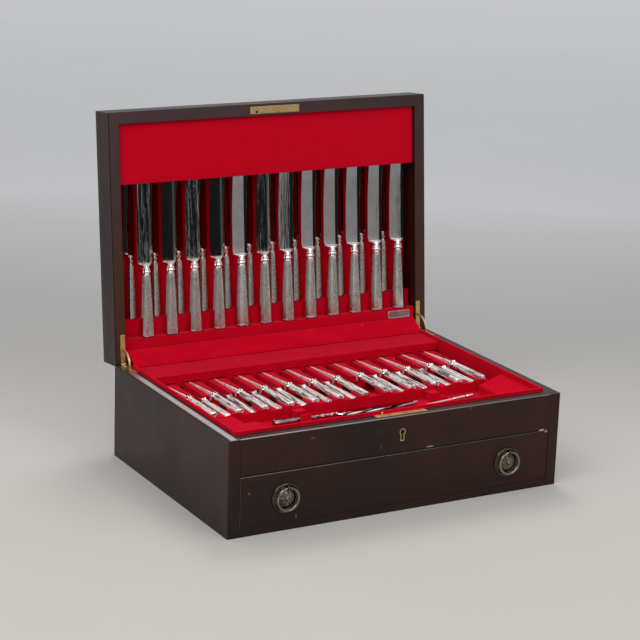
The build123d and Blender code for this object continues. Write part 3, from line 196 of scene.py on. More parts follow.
def ramp(tree, value, stops, mode="LINEAR"):
    """Colour ramp of (position, colour) stops; a single number is a grey."""
    made = tree.nodes.new("ShaderNodeValToRGB")
    made.color_ramp.interpolation = mode
    elements = made.color_ramp.elements
    while len(elements) < len(stops):
        elements.new(0.5)
    for element, (position, colour) in zip(elements, stops):
        element.position = position
        element.color = (*colour, 1.0) if isinstance(colour, tuple) else (colour, colour, colour, 1.0)
    feed(tree, made.inputs, (value,))
    return made.outputs[0]


def mix(tree, share, first, second, mode="MIX"):
    """Mix of two colours by a share."""
    return add_node(tree, "Mix", {0: share, 6: first, 7: second}, data_type="RGBA", blend_type=mode)[2]


def noise(tree, vector, scale, detail=4.0, roughness=0.5, distortion=0.0):
    """Noise value at a scale."""
    return add_node(tree, "TexNoise", {
        "Vector": vector, "Scale": scale,
        "Detail": detail, "Roughness": roughness, "Distortion": distortion,
    })[0]


def cells(tree, vector, scale, rarity):
    """Distance to the middle of each cell, a random number of each, and a mask of the few kept."""
    found = add_node(tree, "TexVoronoi", {"Vector": vector, "Scale": scale})
    choice, random, _ = add_node(tree, "SeparateColor", (found["Color"],))
    return found["Distance"], random, arithmetic(tree, "GREATER_THAN", choice, rarity)


def stretched(tree, vector, scale, turn=(0.0, 0.0, 0.0)):
    """Coordinates scaled differently along each axis, and turned."""
    return add_node(tree, "Mapping", {"Vector": vector, "Scale": scale, "Rotation": turn})[0]


def split(tree, vector):
    """X, Y and Z of a vector."""
    return add_node(tree, "SeparateXYZ", (vector,))


def likeness(tree, first, second):
    """Dot product of two directions."""
    return add_node(tree, "VectorMath", (first, second), operation="DOT_PRODUCT")["Value"]


def facing(tree, direction, least, full):
    """Mask of the faces that look along a direction, from a least to a full likeness."""
    normal = add_node(tree, "NewGeometry")["True Normal"]
    return slope(tree, likeness(tree, normal, direction), least, 1 / (full - least))


def bumped(tree, height, strength, distance, eased=None):
    """Normal pressed by a height, over an eased normal where one is given."""
    fed = {"Height": height, "Strength": strength, "Distance": distance}
    if eased is not None:
        fed["Normal"] = eased
    return add_node(tree, "Bump", fed)[0]


def make_group(name, inputs, outputs):
    """Empty shader group with named sockets, of vectors where the value is None.

    It gives the group's tree, its entry and its exit.
    """
    group = bpy.data.node_groups.new(name, "ShaderNodeTree")
    for label, value in inputs.items():
        kind = "NodeSocketVector" if value is None else "NodeSocketFloat"
        socket = group.interface.new_socket(name=label, in_out="INPUT", socket_type=kind)
        if value is not None:
            socket.default_value = value
    for label, kind in outputs.items():
        group.interface.new_socket(name=label, in_out="OUTPUT", socket_type="NodeSocket" + kind)
    return group, group.nodes.new("NodeGroupInput").outputs, group.nodes.new("NodeGroupOutput").inputs


def place_group(tree, group, **values):
    """Group in a material, fed with coordinates and its own values; gives its outputs."""
    return add_node(tree, "Group", {key.title(): value for key, value in values.items()}, node_tree=group)


def new_material(name):
    """Material with its tree, its Principled shader's sockets and the object's own coordinates."""
    material = bpy.data.materials.new(name)
    material.use_nodes = True
    tree = material.node_tree
    return material, tree, tree.nodes["Principled BSDF"].inputs, add_node(tree, "TexCoord")["Object"]


# ---------------- shared effects
def make_eased_edges():
    """Edges rounded in shading, and a mask that is 1 on them."""
    tree, entry, leave = make_group(
        "eased_edges", {"Radius": 0.0008}, {"Normal": "Vector", "Edge": "Float"},
    )
    eased = add_node(tree, "Bevel", {"Radius": entry["Radius"]}, samples=6)[0]
    plain = add_node(tree, "NewGeometry")["True Normal"]
    feed(tree, leave, {"Normal": eased, "Edge": slope(tree, likeness(tree, eased, plain), 1.0, -9.0)})
    return tree


def make_wood_grain():
    """Polished dark hardwood: long wavering streaks and short pores."""
    tree, entry, leave = make_group(
        "wood_grain", {"Vector": None, "Streaks": 1.0}, {"Tone": "Float", "Height": "Float"},
    )
    broad = noise(tree, entry["Vector"], 1.0, 5.0, 0.55, 0.8)
    fine = noise(tree, entry["Vector"], 4.6, 6.0, 0.62, 0.3)
    pores = slope(tree, noise(tree, entry["Vector"], 13.0, 2.0), 0.60, 7.0)
    tone = total(tree, product(tree, broad, 0.6), product(tree, fine, 0.5), -0.55)
    tone = total(tree, product(tree, tone, entry["Streaks"]), 0.5, clamp=True)
    tone = total(tree, tone, product(tree, pores, -0.35), clamp=True)
    feed(tree, leave, {"Tone": tone, "Height": arithmetic(tree, "SUBTRACT", fine, pores)})
    return tree


def make_scuffs():
    """Sparse pale chips and short slanting scratches in a polish."""
    tree, entry, leave = make_group("scuffs", {"Vector": None, "Amount": 1.0}, {"Mask": "Float"})
    slanted = stretched(tree, entry["Vector"], (34.0, 34.0, 16.0), (0.0, 0.5, 0.2))
    distance, _, chosen = cells(tree, slanted, 1.0, 0.74)
    ragged = noise(tree, entry["Vector"], 900.0, 3.0, 0.6)
    spot = slope(tree, total(tree, distance, product(tree, ragged, 0.05)), 0.062, -60.0)
    feed(tree, leave, {"Mask": product(tree, spot, chosen, entry["Amount"])})
    return tree


def make_velvet_pile():
    """Cut pile: brushed patches, fine speckle of the tufts, and specks of pale lint."""
    tree, entry, leave = make_group(
        "velvet_pile", {"Vector": None, "Brushing": 1.0, "Lint": 1.0},
        {"Shade": "Float", "Lint": "Float", "Height": "Float"},
    )
    brushed = noise(tree, stretched(tree, entry["Vector"], (14.0, 26.0, 20.0)), 1.0, 5.0, 0.55, 1.4)
    cloudy = noise(tree, entry["Vector"], 55.0, 4.0, 0.6)
    tufts = noise(tree, entry["Vector"], 2400.0, 2.0, 0.6)
    shade = total(tree, product(tree, brushed, 0.7), product(tree, cloudy, 0.3), -0.5)
    speckle = product(tree, total(tree, tufts, -0.5), 0.55)
    shade = total(tree, product(tree, shade, entry["Brushing"]), speckle, 0.5, clamp=True)
    distance, random, chosen = cells(tree, entry["Vector"], 84.0, 0.80)
    speck = arithmetic(tree, "LESS_THAN", distance, product(tree, random, 0.066))
    feed(tree, leave, {
        "Shade": shade,
        "Lint": product(tree, speck, chosen, entry["Lint"]),
        "Height": total(tree, product(tree, tufts, 0.5), product(tree, cloudy, 0.8)),
    })
    return tree


def make_tarnish():
    """Handled plate: cloudy tarnish, fine hammer-like mottling and hairline scratches."""
    tree, entry, leave = make_group(
        "tarnish", {"Vector": None, "Clouds": 60.0, "Mottle": 700.0},
        {"Cloud": "Float", "Mottle": "Float", "Hairlines": "Float"},
    )
    drawn = stretched(tree, entry["Vector"], (1500.0, 90.0, 70.0))
    feed(tree, leave, {
        "Cloud": noise(tree, entry["Vector"], entry["Clouds"], 6.0, distortion=0.6),
        "Mottle": noise(tree, entry["Vector"], entry["Mottle"], 3.0),
        "Hairlines": noise(tree, drawn, 1.0, 3.0, 0.7, 0.2),
    })
    return tree


EASED_EDGES = make_eased_edges()
WOOD_GRAIN = make_wood_grain()
SCUFFS = make_scuffs()
VELVET_PILE = make_velvet_pile()
TARNISH = make_tarnish()


# ---------------- wood
WOOD_DARK = (0.0095, 0.0046, 0.0038)
WOOD_WARM = (0.027, 0.0120, 0.0090)
WOOD_RED = (0.046, 0.012, 0.007)
WOOD_BARE = (0.24, 0.17, 0.14)
# Painted sheen on the left side's top: a pale grey in place of a reflection.
TOP_PAINTED_SHEEN = (0.50, 0.465, 0.45)
# Painted shade that darkens the edges into lines.
EDGE_PAINTED_SHADE = (0.0022, 0.0012, 0.0010)
# Painted highlight on edges that look up and ahead.
EDGE_PAINTED_HIGHLIGHT = (0.46, 0.39, 0.36)
EDGE_GLINT = (0.42, 0.38, 0.37)
# Pale tone of left-facing edges: wear with a painted highlight.
EDGE_WEAR_AND_HIGHLIGHT = (0.20, 0.135, 0.105)
# Painted shade of the slit above the drawer.
DRAWER_GAP_PAINTED_SHADE = (0.0008, 0.0005, 0.0005)
# Painted sheen on the front of the lid's frame, paler above and redder low down.
LID_FRONT_PAINTED_SHEEN = (0.066, 0.041, 0.041)
LID_FOOT_PAINTED_SHEEN = (0.068, 0.028, 0.018)
# Painted shade on the lid's edges that look up and ahead.
LID_CREST_PAINTED_SHADE = (0.014, 0.006, 0.006)
LID_CORNER = (0.005, 0.0025, 0.0025)

# Boards of the chest in metres, as the solids have them.
LEFT_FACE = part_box("side_left")[0].x
RIGHT_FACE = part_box("side_right")[1].x
DRAWER_LOW, DRAWER_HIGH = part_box("drawer_front")
LID_RAIL_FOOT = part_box("lid_front_rail")[0].z
EDGE_RADIUS = 0.0013
CHIP_DEPTH = 0.004

Chip = namedtuple("Chip", "across height long tall tone")
RAIL_CHIPS = (
    Chip(0.2112, 0.0724, 0.0030, 0.0022, (0.42, 0.20, 0.09)),
    Chip(0.2045, 0.0745, 0.0045, 0.0015, (0.46, 0.42, 0.38)),
    Chip(0.0411, 0.0760, 0.0065, 0.0012, (0.30, 0.18, 0.10)),
    Chip(-0.0279, 0.0848, 0.0010, 0.0036, (0.085, 0.060, 0.050)),
    Chip(-0.1209, 0.1088, 0.0045, 0.0010, (0.10, 0.080, 0.072)),
    Chip(-0.1401, 0.0153, 0.0010, 0.0040, (0.12, 0.080, 0.060)),
    Chip(-0.2029, 0.0522, 0.0012, 0.0015, (0.16, 0.12, 0.10)),
)


def painted_lid_sheen(tree, tone, broad, place):
    """Painted sheen on the lid's frame where it faces the front, in patches, in place of a reflection;
    redder low down, with a dark left corner.
    """
    x, _, z = split(tree, place)
    front = facing(tree, LID_OUT, 0.7, 0.9)
    low = ramp(tree, total(tree, z, product(tree, broad, 0.1)), ((0.26, 1.0), (0.38, 0.0)))
    sheen_patches = ramp(tree, broad, ((0.35, 0.75), (0.65, 1.0)))
    tone = mix(tree, front, tone, mix(tree, sheen_patches, tone, mix(tree, low, LID_FRONT_PAINTED_SHEEN, LID_FOOT_PAINTED_SHEEN)))
    corner = window(tree, x, LEFT_FACE - 0.0005, LEFT_FACE + 0.0014, 0.0004)
    return mix(tree, product(tree, front, corner), tone, LID_CORNER)


def painted_top_sheen(tree, tone, place):
    """Painted sheen: pale grey painted along the middle of the left side's top, towards the front, in
    place of a reflection.
    """
    x, y, _ = split(tree, place)
    upward = facing(tree, (0.0, 0.0, 1.0), 0.8, 0.95)
    ahead = ramp(tree, total(tree, y, 0.5), ((0.585, 1.0), (0.63, 0.1)))
    inside = window(tree, x, LEFT_FACE + 0.0038, LEFT_FACE + 0.0092, 0.0022)
    return mix(tree, product(tree, upward, ahead, inside, 0.85), tone, TOP_PAINTED_SHEEN)


def painted_edge_tones(tree, tone, edges, fading, place, lid, front):
    """Edges as dark lines of painted shade, but for those that look up and ahead, which take a painted
    highlight (a painted shade on the lid), and those that look to the left, which take wear and a painted
    highlight.

    The joints of the lid's frame keep no line. The left side of the chest takes that wear and highlight,
    and on a front so do the edges of the drawer.
    """
    x, _, z = split(tree, place)
    across, along_depth, rise = split(tree, edges["Normal"])
    upward = slope(tree, rise, 0.12, 4.0)
    ahead = slope(tree, along_depth, -0.15, -4.0)
    leftward = slope(tree, across, -0.15, -4.0)
    shaded = product(tree, edges["Edge"], 0.9)
    if lid:
        above = arithmetic(tree, "GREATER_THAN", z, LID_RAIL_FOOT + 0.002)
        joint = product(tree, above, window(tree, x, LEFT_FACE + 0.0025, RIGHT_FACE - 0.0025, 0.0005))
        kept = arithmetic(tree, "MAXIMUM", arithmetic(tree, "SUBTRACT", 1.0, joint), upward)
        shaded = product(tree, shaded, kept)
    # All edges first take a painted shade line.
    tone = mix(tree, shaded, tone, EDGE_PAINTED_SHADE)
    # Edges higher up that look up and ahead take a painted highlight; on the lid they take a painted
    # shade.
    lifted = arithmetic(tree, "GREATER_THAN", z, 0.03)
    crest = product(tree, edges["Edge"], upward, ahead, fading, lifted)
    tone = mix(tree, crest, tone, LID_CREST_PAINTED_SHADE if lid else EDGE_PAINTED_HIGHLIGHT)
    # Edges that look to the left, on the chest's left side and round the drawer, take wear and a painted
    # highlight.
    worn_lit_zone = arithmetic(tree, "LESS_THAN", x, LEFT_FACE + 0.002)
    if front:
        worn_lit_zone = arithmetic(tree, "MAXIMUM", worn_lit_zone, arithmetic(tree, "LESS_THAN", z, DRAWER_HIGH.z))
    return mix(tree, product(tree, edges["Edge"], leftward, worn_lit_zone, 0.7), tone, EDGE_WEAR_AND_HIGHLIGHT)


def painted_gap_shade(tree, tone, place):
    """Painted shade of the slit above the drawer: a dark band on the rail just over it."""
    x, _, z = split(tree, place)
    tall = window(tree, z, DRAWER_HIGH.z + 0.0002, DRAWER_HIGH.z + 0.0020, 0.0003)
    wide = window(tree, x, DRAWER_LOW.x, DRAWER_HIGH.x, 0.0003)
    return mix(tree, product(tree, tall, wide), tone, DRAWER_GAP_PAINTED_SHADE)


def chipped(tree, tone, place):
    """Ragged oval chips in the front, each at its own place, size and tone."""
    ragged = product(tree, noise(tree, place, 420.0, 4.0, 0.7), 1.1)
    for chip in RAIL_CHIPS:
        spot = (chip.across, FRONT_Y * MM, chip.height)
        away = add_node(tree, "VectorMath", (place, spot), operation="SUBTRACT")["Vector"]
        squeezed = stretched(tree, away, (1 / chip.long, 1 / CHIP_DEPTH, 1 / chip.tall))
        reach = add_node(tree, "VectorMath", (squeezed,), operation="LENGTH")["Value"]
        tone = mix(tree, slope(tree, total(tree, reach, ragged), 1.45, -5.0), tone, chip.tone)
    return tone


def dark_wood(name, grain_scale, scuffed, lid=False, reflected_grey=False, front=False):
    """Rosewood-coloured polish whose grain runs along the axis with the smallest scale, its edges painted
    with highlight and shade.
    """
    material, tree, shader, place = new_material(name)
    grain = place_group(tree, WOOD_GRAIN, vector=stretched(tree, place, grain_scale), streaks=1.5)
    edges = place_group(tree, EASED_EDGES, radius=EDGE_RADIUS)
    scuffs = place_group(tree, SCUFFS, vector=place, amount=scuffed)
    broad = noise(tree, place, 7.0, 3.0)
    tone = mix(tree, grain["Tone"], WOOD_DARK, WOOD_WARM)
    tone = mix(tree, ramp(tree, broad, ((0.44, 0.0), (0.70, 0.6))), tone, WOOD_RED)
    # The lid's front faces take a painted sheen.
    if lid:
        tone = painted_lid_sheen(tree, tone, broad, place)
    # Painted sheen along the top, where asked.
    if reflected_grey:
        tone = painted_top_sheen(tree, tone, place)
    # Painted highlights on the edges fade from the left towards the right.
    fading = ramp(tree, total(tree, split(tree, place)["X"], 0.5), ((0.27, 1.0), (0.60, 0.40)))
    tone = painted_edge_tones(tree, tone, edges, fading, place, lid, front)
    if front:
        tone = painted_gap_shade(tree, tone, place)
    # Painted highlight along the rounded top front edge.
    if not lid:
        rounded = facing(tree, (0.0, -0.71, 0.71), 0.86, 0.97)
        tone = mix(tree, product(tree, rounded, fading), tone, EDGE_GLINT)
    if front:
        tone = chipped(tree, tone, place)
    feed(tree, shader, {
        "Base Color": mix(tree, scuffs["Mask"], tone, WOOD_BARE),
        "Roughness": ramp(tree, noise(tree, place, 24.0, 5.0, 0.6), ((0.3, 0.26), (0.75, 0.42))),
        "Specular IOR Level": 0.20,
        "Coat Weight": 0.05,
        "Coat Roughness": 0.14,
        "Normal": bumped(tree, grain["Height"], 0.10, 0.0003, edges["Normal"]),
    })
    return material


GRAIN_ACROSS = (7.0, 120.0, 120.0)
GRAIN_ALONG = (120.0, 7.0, 120.0)
GRAIN_UP = (120.0, 120.0, 7.0)
BOARD_ACROSS = dark_wood("dark_wood_across", GRAIN_ACROSS, 1.0)
BOARD_ALONG = dark_wood("dark_wood_along", GRAIN_ALONG, 0.5)
# The left side takes a painted sheen along its top.
BOARD_PAINTED_SHEEN = dark_wood("dark_wood_painted_sheen_rim", GRAIN_ALONG, 0.5, reflected_grey=True)
BOARD_FRONT = dark_wood("dark_wood_front", GRAIN_ACROSS, 0.6, front=True)
LID_BOARD_ACROSS = dark_wood("dark_wood_lid_across", GRAIN_ACROSS, 0.6, lid=True)
LID_BOARD_UPRIGHT = dark_wood("dark_wood_lid_upright", GRAIN_UP, 0.5, lid=True)


# ---------------- velvet
LINT_TONE = (0.85, 0.78, 0.76)


def velvet(name, deep=(0.46, 0.0012, 0.010), lit=(0.64, 0.0035, 0.021), brushing=1.3, lint=1.0):
    """Crimson cut velvet with a pale pile sheen, patches of brushed pile and lint."""
    material, tree, shader, place = new_material(name)
    pile = place_group(tree, VELVET_PILE, vector=place, brushing=brushing, lint=lint)
    feed(tree, shader, {
        "Base Color": mix(tree, pile["Lint"], mix(tree, pile["Shade"], deep, lit), LINT_TONE),
        "Roughness": 0.95,
        "Specular IOR Level": 0.0,
        "Sheen Weight": 0.45,
        "Sheen Roughness": 0.42,
        "Sheen Tint": (1.0, 0.10, 0.20),
        "Normal": bumped(tree, pile["Height"], 0.55, 0.0004),
    })
    return material


BOARD_VELVET = velvet("crimson_velvet")
PAD_VELVET = velvet("crimson_pad_velvet", (0.50, 0.0022, 0.012), (0.62, 0.0040, 0.020), 0.6, 0.0)
CLOTH_VELVET = velvet("crimson_hinge_velvet", brushing=1.6, lint=1.6)


# ---------------- metals
def painted_facet_light(tree, colour, place):
    """Handle's facets: painted shade on those that face left, painted highlight on those that face right,
    and dark specks in the pattern.
    """
    left = facing(tree, (-0.8, -0.6, 0.0), 0.84, 0.97)
    colour = mix(tree, product(tree, left, 0.65), colour, (0.20, 0.198, 0.195))
    right = facing(tree, (0.8, -0.6, 0.0), 0.84, 0.97)
    colour = mix(tree, product(tree, right, 0.6), colour, (0.98, 0.97, 0.94))
    specks = ramp(tree, noise(tree, place, 850.0, 4.0, 0.75), ((0.40, 0.62), (0.56, 0.0)))
    return mix(tree, specks, colour, (0.05, 0.05, 0.052))


def metal(name, bright, tarnished, roughness, tarnish, mottle, bump, eased=0.0004, edge=None,
          faceted=False):
    """Metal with cloudy tarnish, mottled roughness, hairlines and eased edges, brighter where asked."""
    material, tree, shader, place = new_material(name)
    marks = place_group(tree, TARNISH, vector=place, clouds=70.0, mottle=mottle)
    edges = place_group(tree, EASED_EDGES, radius=eased)
    colour = mix(tree, ramp(tree, marks["Cloud"], ((0.42, 0.0), (0.72, tarnish))), bright, tarnished)
    if edge is not None:
        colour = mix(tree, edges["Edge"], colour, edge)
    # Painted shade and highlight on the facets, where asked.
    if faceted:
        colour = painted_facet_light(tree, colour, place)
    height = total(tree, product(tree, marks["Mottle"], 0.7), product(tree, marks["Hairlines"], 0.3))
    low, high = roughness
    feed(tree, shader, {
        "Base Color": colour,
        "Metallic": 1.0,
        "Roughness": ramp(tree, marks["Mottle"], ((0.32, low), (0.70, high))),
        "Normal": bumped(tree, height, bump, 0.0002, edges["Normal"]),
    })
    return material


def mirror_steel(name):
    """Polished steel blade, whose own amount of streaks along it bends what it mirrors."""
    material, tree, shader, place = new_material(name)
    amount = add_node(tree, "Attribute", attribute_name="streaks")["Fac"]
    streaks = noise(tree, stretched(tree, place, (190.0, 190.0, 8.0)), 1.0, 4.0, 0.5, 0.9)
    smears = noise(tree, place, 90.0, 5.0, 0.6, 0.5)
    feed(tree, shader, {
        "Base Color": ramp(tree, smears, ((0.35, (0.44, 0.445, 0.46)), (0.7, (0.52, 0.525, 0.54)))),
        "Metallic": 1.0,
        "Roughness": ramp(tree, smears, ((0.40, 0.02), (0.75, 0.07))),
        "Normal": bumped(tree, product(tree, streaks, amount), 0.55, 0.0004),
    })
    return material


def banded_plate(name, colour, scale, roughness, dark, metallic):
    """Bright plate of the tray: bands along each piece that alternate between mirror and satin."""
    material, tree, shader, place = new_material(name)
    marks = place_group(tree, TARNISH, vector=place, clouds=90.0, mottle=1100.0)
    bands = noise(tree, stretched(tree, place, scale), 1.0, 3.0, 0.6, 0.8)
    dulled = ramp(tree, marks["Cloud"], ((0.50, 0.0), (0.75, 0.30)))
    plate = mix(tree, dulled, colour, (0.70, 0.66, 0.60))
    # Painted dark reflections in the sunk bands.
    sunk = ramp(tree, bands, ((0.42, dark), (0.49, 0.0)))
    low, high = roughness
    feed(tree, shader, {
        "Base Color": mix(tree, sunk, plate, (0.085, 0.07, 0.072)),
        # Only partly metallic, so that the pale diffuse part stands in for a bright reflection.
        "Metallic": metallic,
        "Roughness": ramp(tree, bands, ((0.40, low), (0.60, high))),
        "Normal": bumped(tree, total(tree, bands, product(tree, marks["Mottle"], 0.35)), 0.60, 0.0006),
    })
    return material


BRASS = metal("brass", (0.80, 0.58, 0.27), (0.50, 0.34, 0.15), (0.34, 0.42), 0.35, 120.0, 0.012)
SILVER = metal(
    "silver_plate", (0.95, 0.94, 0.90), (0.62, 0.57, 0.50), (0.12, 0.34), 0.40, 1000.0, 0.8, faceted=True,
)
BRIGHT_SILVER = metal(
    "bright_silver_plate", (0.90, 0.89, 0.87), (0.60, 0.55, 0.47), (0.06, 0.20), 0.3, 900.0, 0.12,
)
DULL_SILVER = metal(
    "dull_silver_plate", (0.42, 0.41, 0.43), (0.16, 0.15, 0.17), (0.10, 0.24), 0.8, 700.0, 0.25,
)
AGED_PLATE = metal(
    "aged_brass", (0.072, 0.057, 0.043), (0.030, 0.025, 0.021), (0.09, 0.22), 0.6, 500.0, 0.05,
    eased=0.0003, edge=(0.42, 0.37, 0.30),
)
AGED_RING = metal(
    "aged_brass_ring", (0.30, 0.25, 0.19), (0.07, 0.056, 0.044), (0.05, 0.14), 0.6, 500.0, 0.04,
)
AGED_ROSE = metal(
    "aged_brass_rosette", (0.30, 0.255, 0.19), (0.05, 0.042, 0.034), (0.14, 0.34), 0.7, 700.0, 0.08,
)
PLAQUE_RIM = metal("plaque_rim", (0.80, 0.74, 0.72), (0.45, 0.38, 0.36), (0.12, 0.3), 0.4, 900.0, 0.1)
PLAQUE_FIELD = metal("plaque_field", (0.42, 0.34, 0.34), (0.26, 0.17, 0.18), (0.30, 0.5), 0.7, 500.0, 0.2)
STEEL = mirror_steel("polished_steel")
TRAY_SILVER = banded_plate(
    "tray_silver_plate", (0.97, 0.965, 0.95), (330.0, 30.0, 330.0), (0.06, 0.34), dark=0.9, metallic=0.50,
)
TRAY_STEEL = banded_plate(
    "tray_steel", (0.98, 0.98, 0.98), (60.0, 24.0, 60.0), (0.25, 0.45), dark=0.25, metallic=0.45,
)


# ---------------- mesh helpers
def new_mesh(name, points, faces):
    """Mesh of points in mm and faces."""
    mesh = bpy.data.meshes.new(name)
    mesh.from_pydata((np.asarray(points) * MM).tolist(), [], faces)
    mesh.validate()
    return mesh


def turn_outwards(mesh, merged=False):
    """Turns a closed mesh's faces outwards, once their shared borders are merged where asked."""
    work = bmesh.new()
    work.from_mesh(mesh)
    if merged:
        bmesh.ops.remove_doubles(work, verts=work.verts, dist=1e-6)
    bmesh.ops.recalc_face_normals(work, faces=work.faces)
    work.to_mesh(mesh)
    work.free()


def show(mesh, material, sharp=None):
    """Puts a mesh into the scene in a material, smooth-shaded but for edges sharper than an angle."""
    mesh.materials.clear()
    mesh.materials.append(material)
    mesh.polygons.foreach_set("use_smooth", np.ones(len(mesh.polygons), bool))
    if sharp is not None:
        mesh.set_sharp_from_angle(angle=math.radians(sharp))
    piece = bpy.data.objects.new(mesh.name, mesh)
    bpy.context.scene.collection.objects.link(piece)
    return piece


def declare(piece, body, solid):
    """Sets what a piece rides on, and hides the solid that it stands for."""
    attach(piece, body)
    if solid is not None:
        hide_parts(solid)


def gather(stacks, looped):
    """Points and faces of stacks of rings, each (rings, around, 3).

    Quads join neighbouring closed rings; the end rings are joined to each other, or each is capped.
    """
    faces = []
    start = 0
    for stack in stacks:
        index = np.arange(stack.shape[0] * stack.shape[1]).reshape(stack.shape[:2]) + start
        near, far = (index, np.roll(index, -1, 0)) if looped else (index[:-1], index[1:])
        quads = np.stack([near, np.roll(near, -1, 1), np.roll(far, -1, 1), far], -1)
        faces += quads.reshape(-1, 4).tolist()
        if not looped:
            faces += [index[0, ::-1].tolist(), index[-1].tolist()]
        start += index.size
    return np.concatenate([stack.reshape(-1, 3) for stack in stacks]), faces


def grid_faces(index):
    """Quads of an open grid of point numbers."""
    quads = np.stack([index[:-1, :-1], index[1:, :-1], index[1:, 1:], index[:-1, 1:]], -1)
    return quads.reshape(-1, 4).tolist()


def make_piece(name, stacks, material, sharp, body, solid=None, looped=False):
    """Closed piece of one or more stacks of rings."""
    mesh = new_mesh(name, *gather(stacks, looped))
    turn_outwards(mesh)
    piece = show(mesh, material, sharp)
    declare(piece, body, solid)
    return piece


def along(section, distance, plane):
    """Sections (stations, points, 2) set across a plane's axis at distances along it."""
    origin, right, up, ahead = (np.asarray(direction) for direction in plane)
    return origin + section[..., 0:1] * right + section[..., 1:2] * up + distance[:, None, None] * ahead


def turns_of(count):
    """Angles of a full turn."""
    return np.linspace(0, 2 * np.pi, count, endpoint=False)


def squared(angle, power):
    """Cosine and sine of angles, with a power below 1 that fills out the corners of the circle."""
    return [np.sign(wave) * np.abs(wave) ** power for wave in (np.cos(angle), np.sin(angle))]


def handle_shape(plane, stations, cut_share, ease):
    """Faceted handle from (distance, width, height) stations.

    A section is a rectangle whose corners are cut off by a share of its smaller side, and each of
    the eight corners that this leaves is eased by three points.
    """
    distance, width, height = np.asarray(stations).T
    wide, tall, cut = width / 2, height / 2, np.minimum(width, height) * cut_share
    corners = np.stack([np.stack(corner, -1) for corner in (
        (wide, cut - tall), (wide, tall - cut), (wide - cut, tall), (cut - wide, tall),
        (-wide, tall - cut), (-wide, cut - tall), (cut - wide, -tall), (wide - cut, -tall),
    )], 1)
    before, after = (np.roll(corners, step, 1) - corners for step in (1, -1))
    before /= np.maximum(np.linalg.norm(before, axis=-1, keepdims=True), 1e-6)
    after /= np.maximum(np.linalg.norm(after, axis=-1, keepdims=True), 1e-6)
    trio = [corners + before * ease, corners + (before + after) * ease * 0.27, corners + after * ease]
    return along(np.stack(trio, 2).reshape(len(width), -1, 2), distance, plane)


def turned_shape(stations, steps, plane, around, lobes, twist=0.0):
    """Surface of revolution through (distance, radius, depth of the lobes) stations.

    Radius and depth ease from station to station along a cosine, over so many steps in all, and
    the depth is 0 where it is left out. The radius at an angle is
    radius * (1 + depth * cos(lobes * angle + twist * distance)).
    """
    stations = np.array([(*station, 0.0)[:3] for station in stations])
    fine = np.linspace(0, len(stations) - 1, steps)
    lower = np.minimum(fine.astype(int), len(stations) - 2)
    eased = (1 - np.cos(np.pi * (fine - lower))) / 2
    rise = stations[lower + 1] - stations[lower]
    _, radius, depth = (stations[lower] + rise * eased[:, None]).T
    distance = np.interp(fine, np.arange(len(stations)), stations[:, 0])
    angle = turns_of(around)
    wave = 1 + depth[:, None] * np.cos(lobes * angle + twist * distance[:, None])
    reach = radius[:, None] * wave
    return along(np.stack([reach * np.cos(angle), reach * np.sin(angle)], -1), distance, plane)


# ---------------- directions of what stands, lies or hangs
def lid_point(across, height, depth):
    """Point of the open lid."""
    rise = height - PIVOT_INSET
    back = RIM_GAP + depth
    return np.stack(np.broadcast_arrays(
        across,
        PIVOT_Y + math.sin(LEAN) * rise + math.cos(LEAN) * back,
        PIVOT_Z + math.cos(LEAN) * rise - math.sin(LEAN) * back,
    ), -1).astype(float)


def tray_frame(across, y, z, tip):
    """Place and directions of something lying in the tray and pointing to the back, tipped sideways."""
    cosine, sine = math.cos(math.radians(tip)), math.sin(math.radians(tip))
    return (across, y, z), (cosine, 0.0, sine), (-sine, 0.0, cosine), (0.0, 1.0, 0.0)


def trough_frame(start, end, lift):
    """Place and directions of something lying in the trough from one place to another."""
    ahead = np.array([end[0] - start[0], end[1] - start[1], 0.0])
    ahead /= np.linalg.norm(ahead)
    up = np.array([0.0, 0.0, 1.0])
    return (*start, TROUGH_FLOOR + lift), np.cross(ahead, up), up, ahead


def front_frame(across, z):
    """Place and directions of something standing out from the drawer's front."""
    return (across, FRONT_Y, z), (1.0, 0.0, 0.0), (0.0, 0.0, 1.0), (0.0, -1.0, 0.0)


# ---------------- velvet boards
BOARDS = (
    ("lining_front", 0.5, "case"), ("lining_back", 0.5, "case"), ("lining_left", 0.5, "case"),
    ("lining_right", 0.5, "case"), ("tray_floor", 0.4, "case"), ("knife_comb", 0.6, "case"),
    ("platform", 0.7, "case"), ("handle_rack", 0.7, "case"), ("filler_left", 0.8, "case"),
    ("filler_right", 0.8, "case"), ("bridge_blocks", 0.9, "case"), ("lid_lining", 0.3, "lid"),
    ("pad_batten", 0.6, "lid"), ("table_rack", 0.6, "lid"), ("dessert_rack", 0.6, "lid"),
    ("drawer_lining", 0.4, "drawer"),
)
FLAT_WITHIN = math.radians(1.0)
EASED_BEYOND = math.radians(28.0)


def velvet_board(solid_name, ease, body):
    """Board under velvet: its flat faces rejoined, and its edges rounded as cloth rounds them."""
    mesh = bpy.data.meshes.new("covered_" + solid_name)
    work = bmesh.new()
    work.from_mesh(NODES[solid_name].data)
    bmesh.ops.remove_doubles(work, verts=work.verts, dist=2e-6)
    bmesh.ops.dissolve_limit(work, angle_limit=FLAT_WITHIN, verts=work.verts, edges=work.edges)
    edges = [edge for edge in work.edges if edge.is_manifold and edge.calc_face_angle(0.0) > EASED_BEYOND]
    bmesh.ops.bevel(
        work, geom=edges, offset=ease * MM, segments=3, profile=0.6, affect="EDGES", clamp_overlap=True,
    )
    bmesh.ops.recalc_face_normals(work, faces=work.faces)
    work.to_mesh(mesh)
    work.free()
    piece = show(mesh, BOARD_VELVET, 40)
    piece.modifiers.new("even_normals", "WEIGHTED_NORMAL").keep_sharp = True
    declare(piece, body, solid_name)


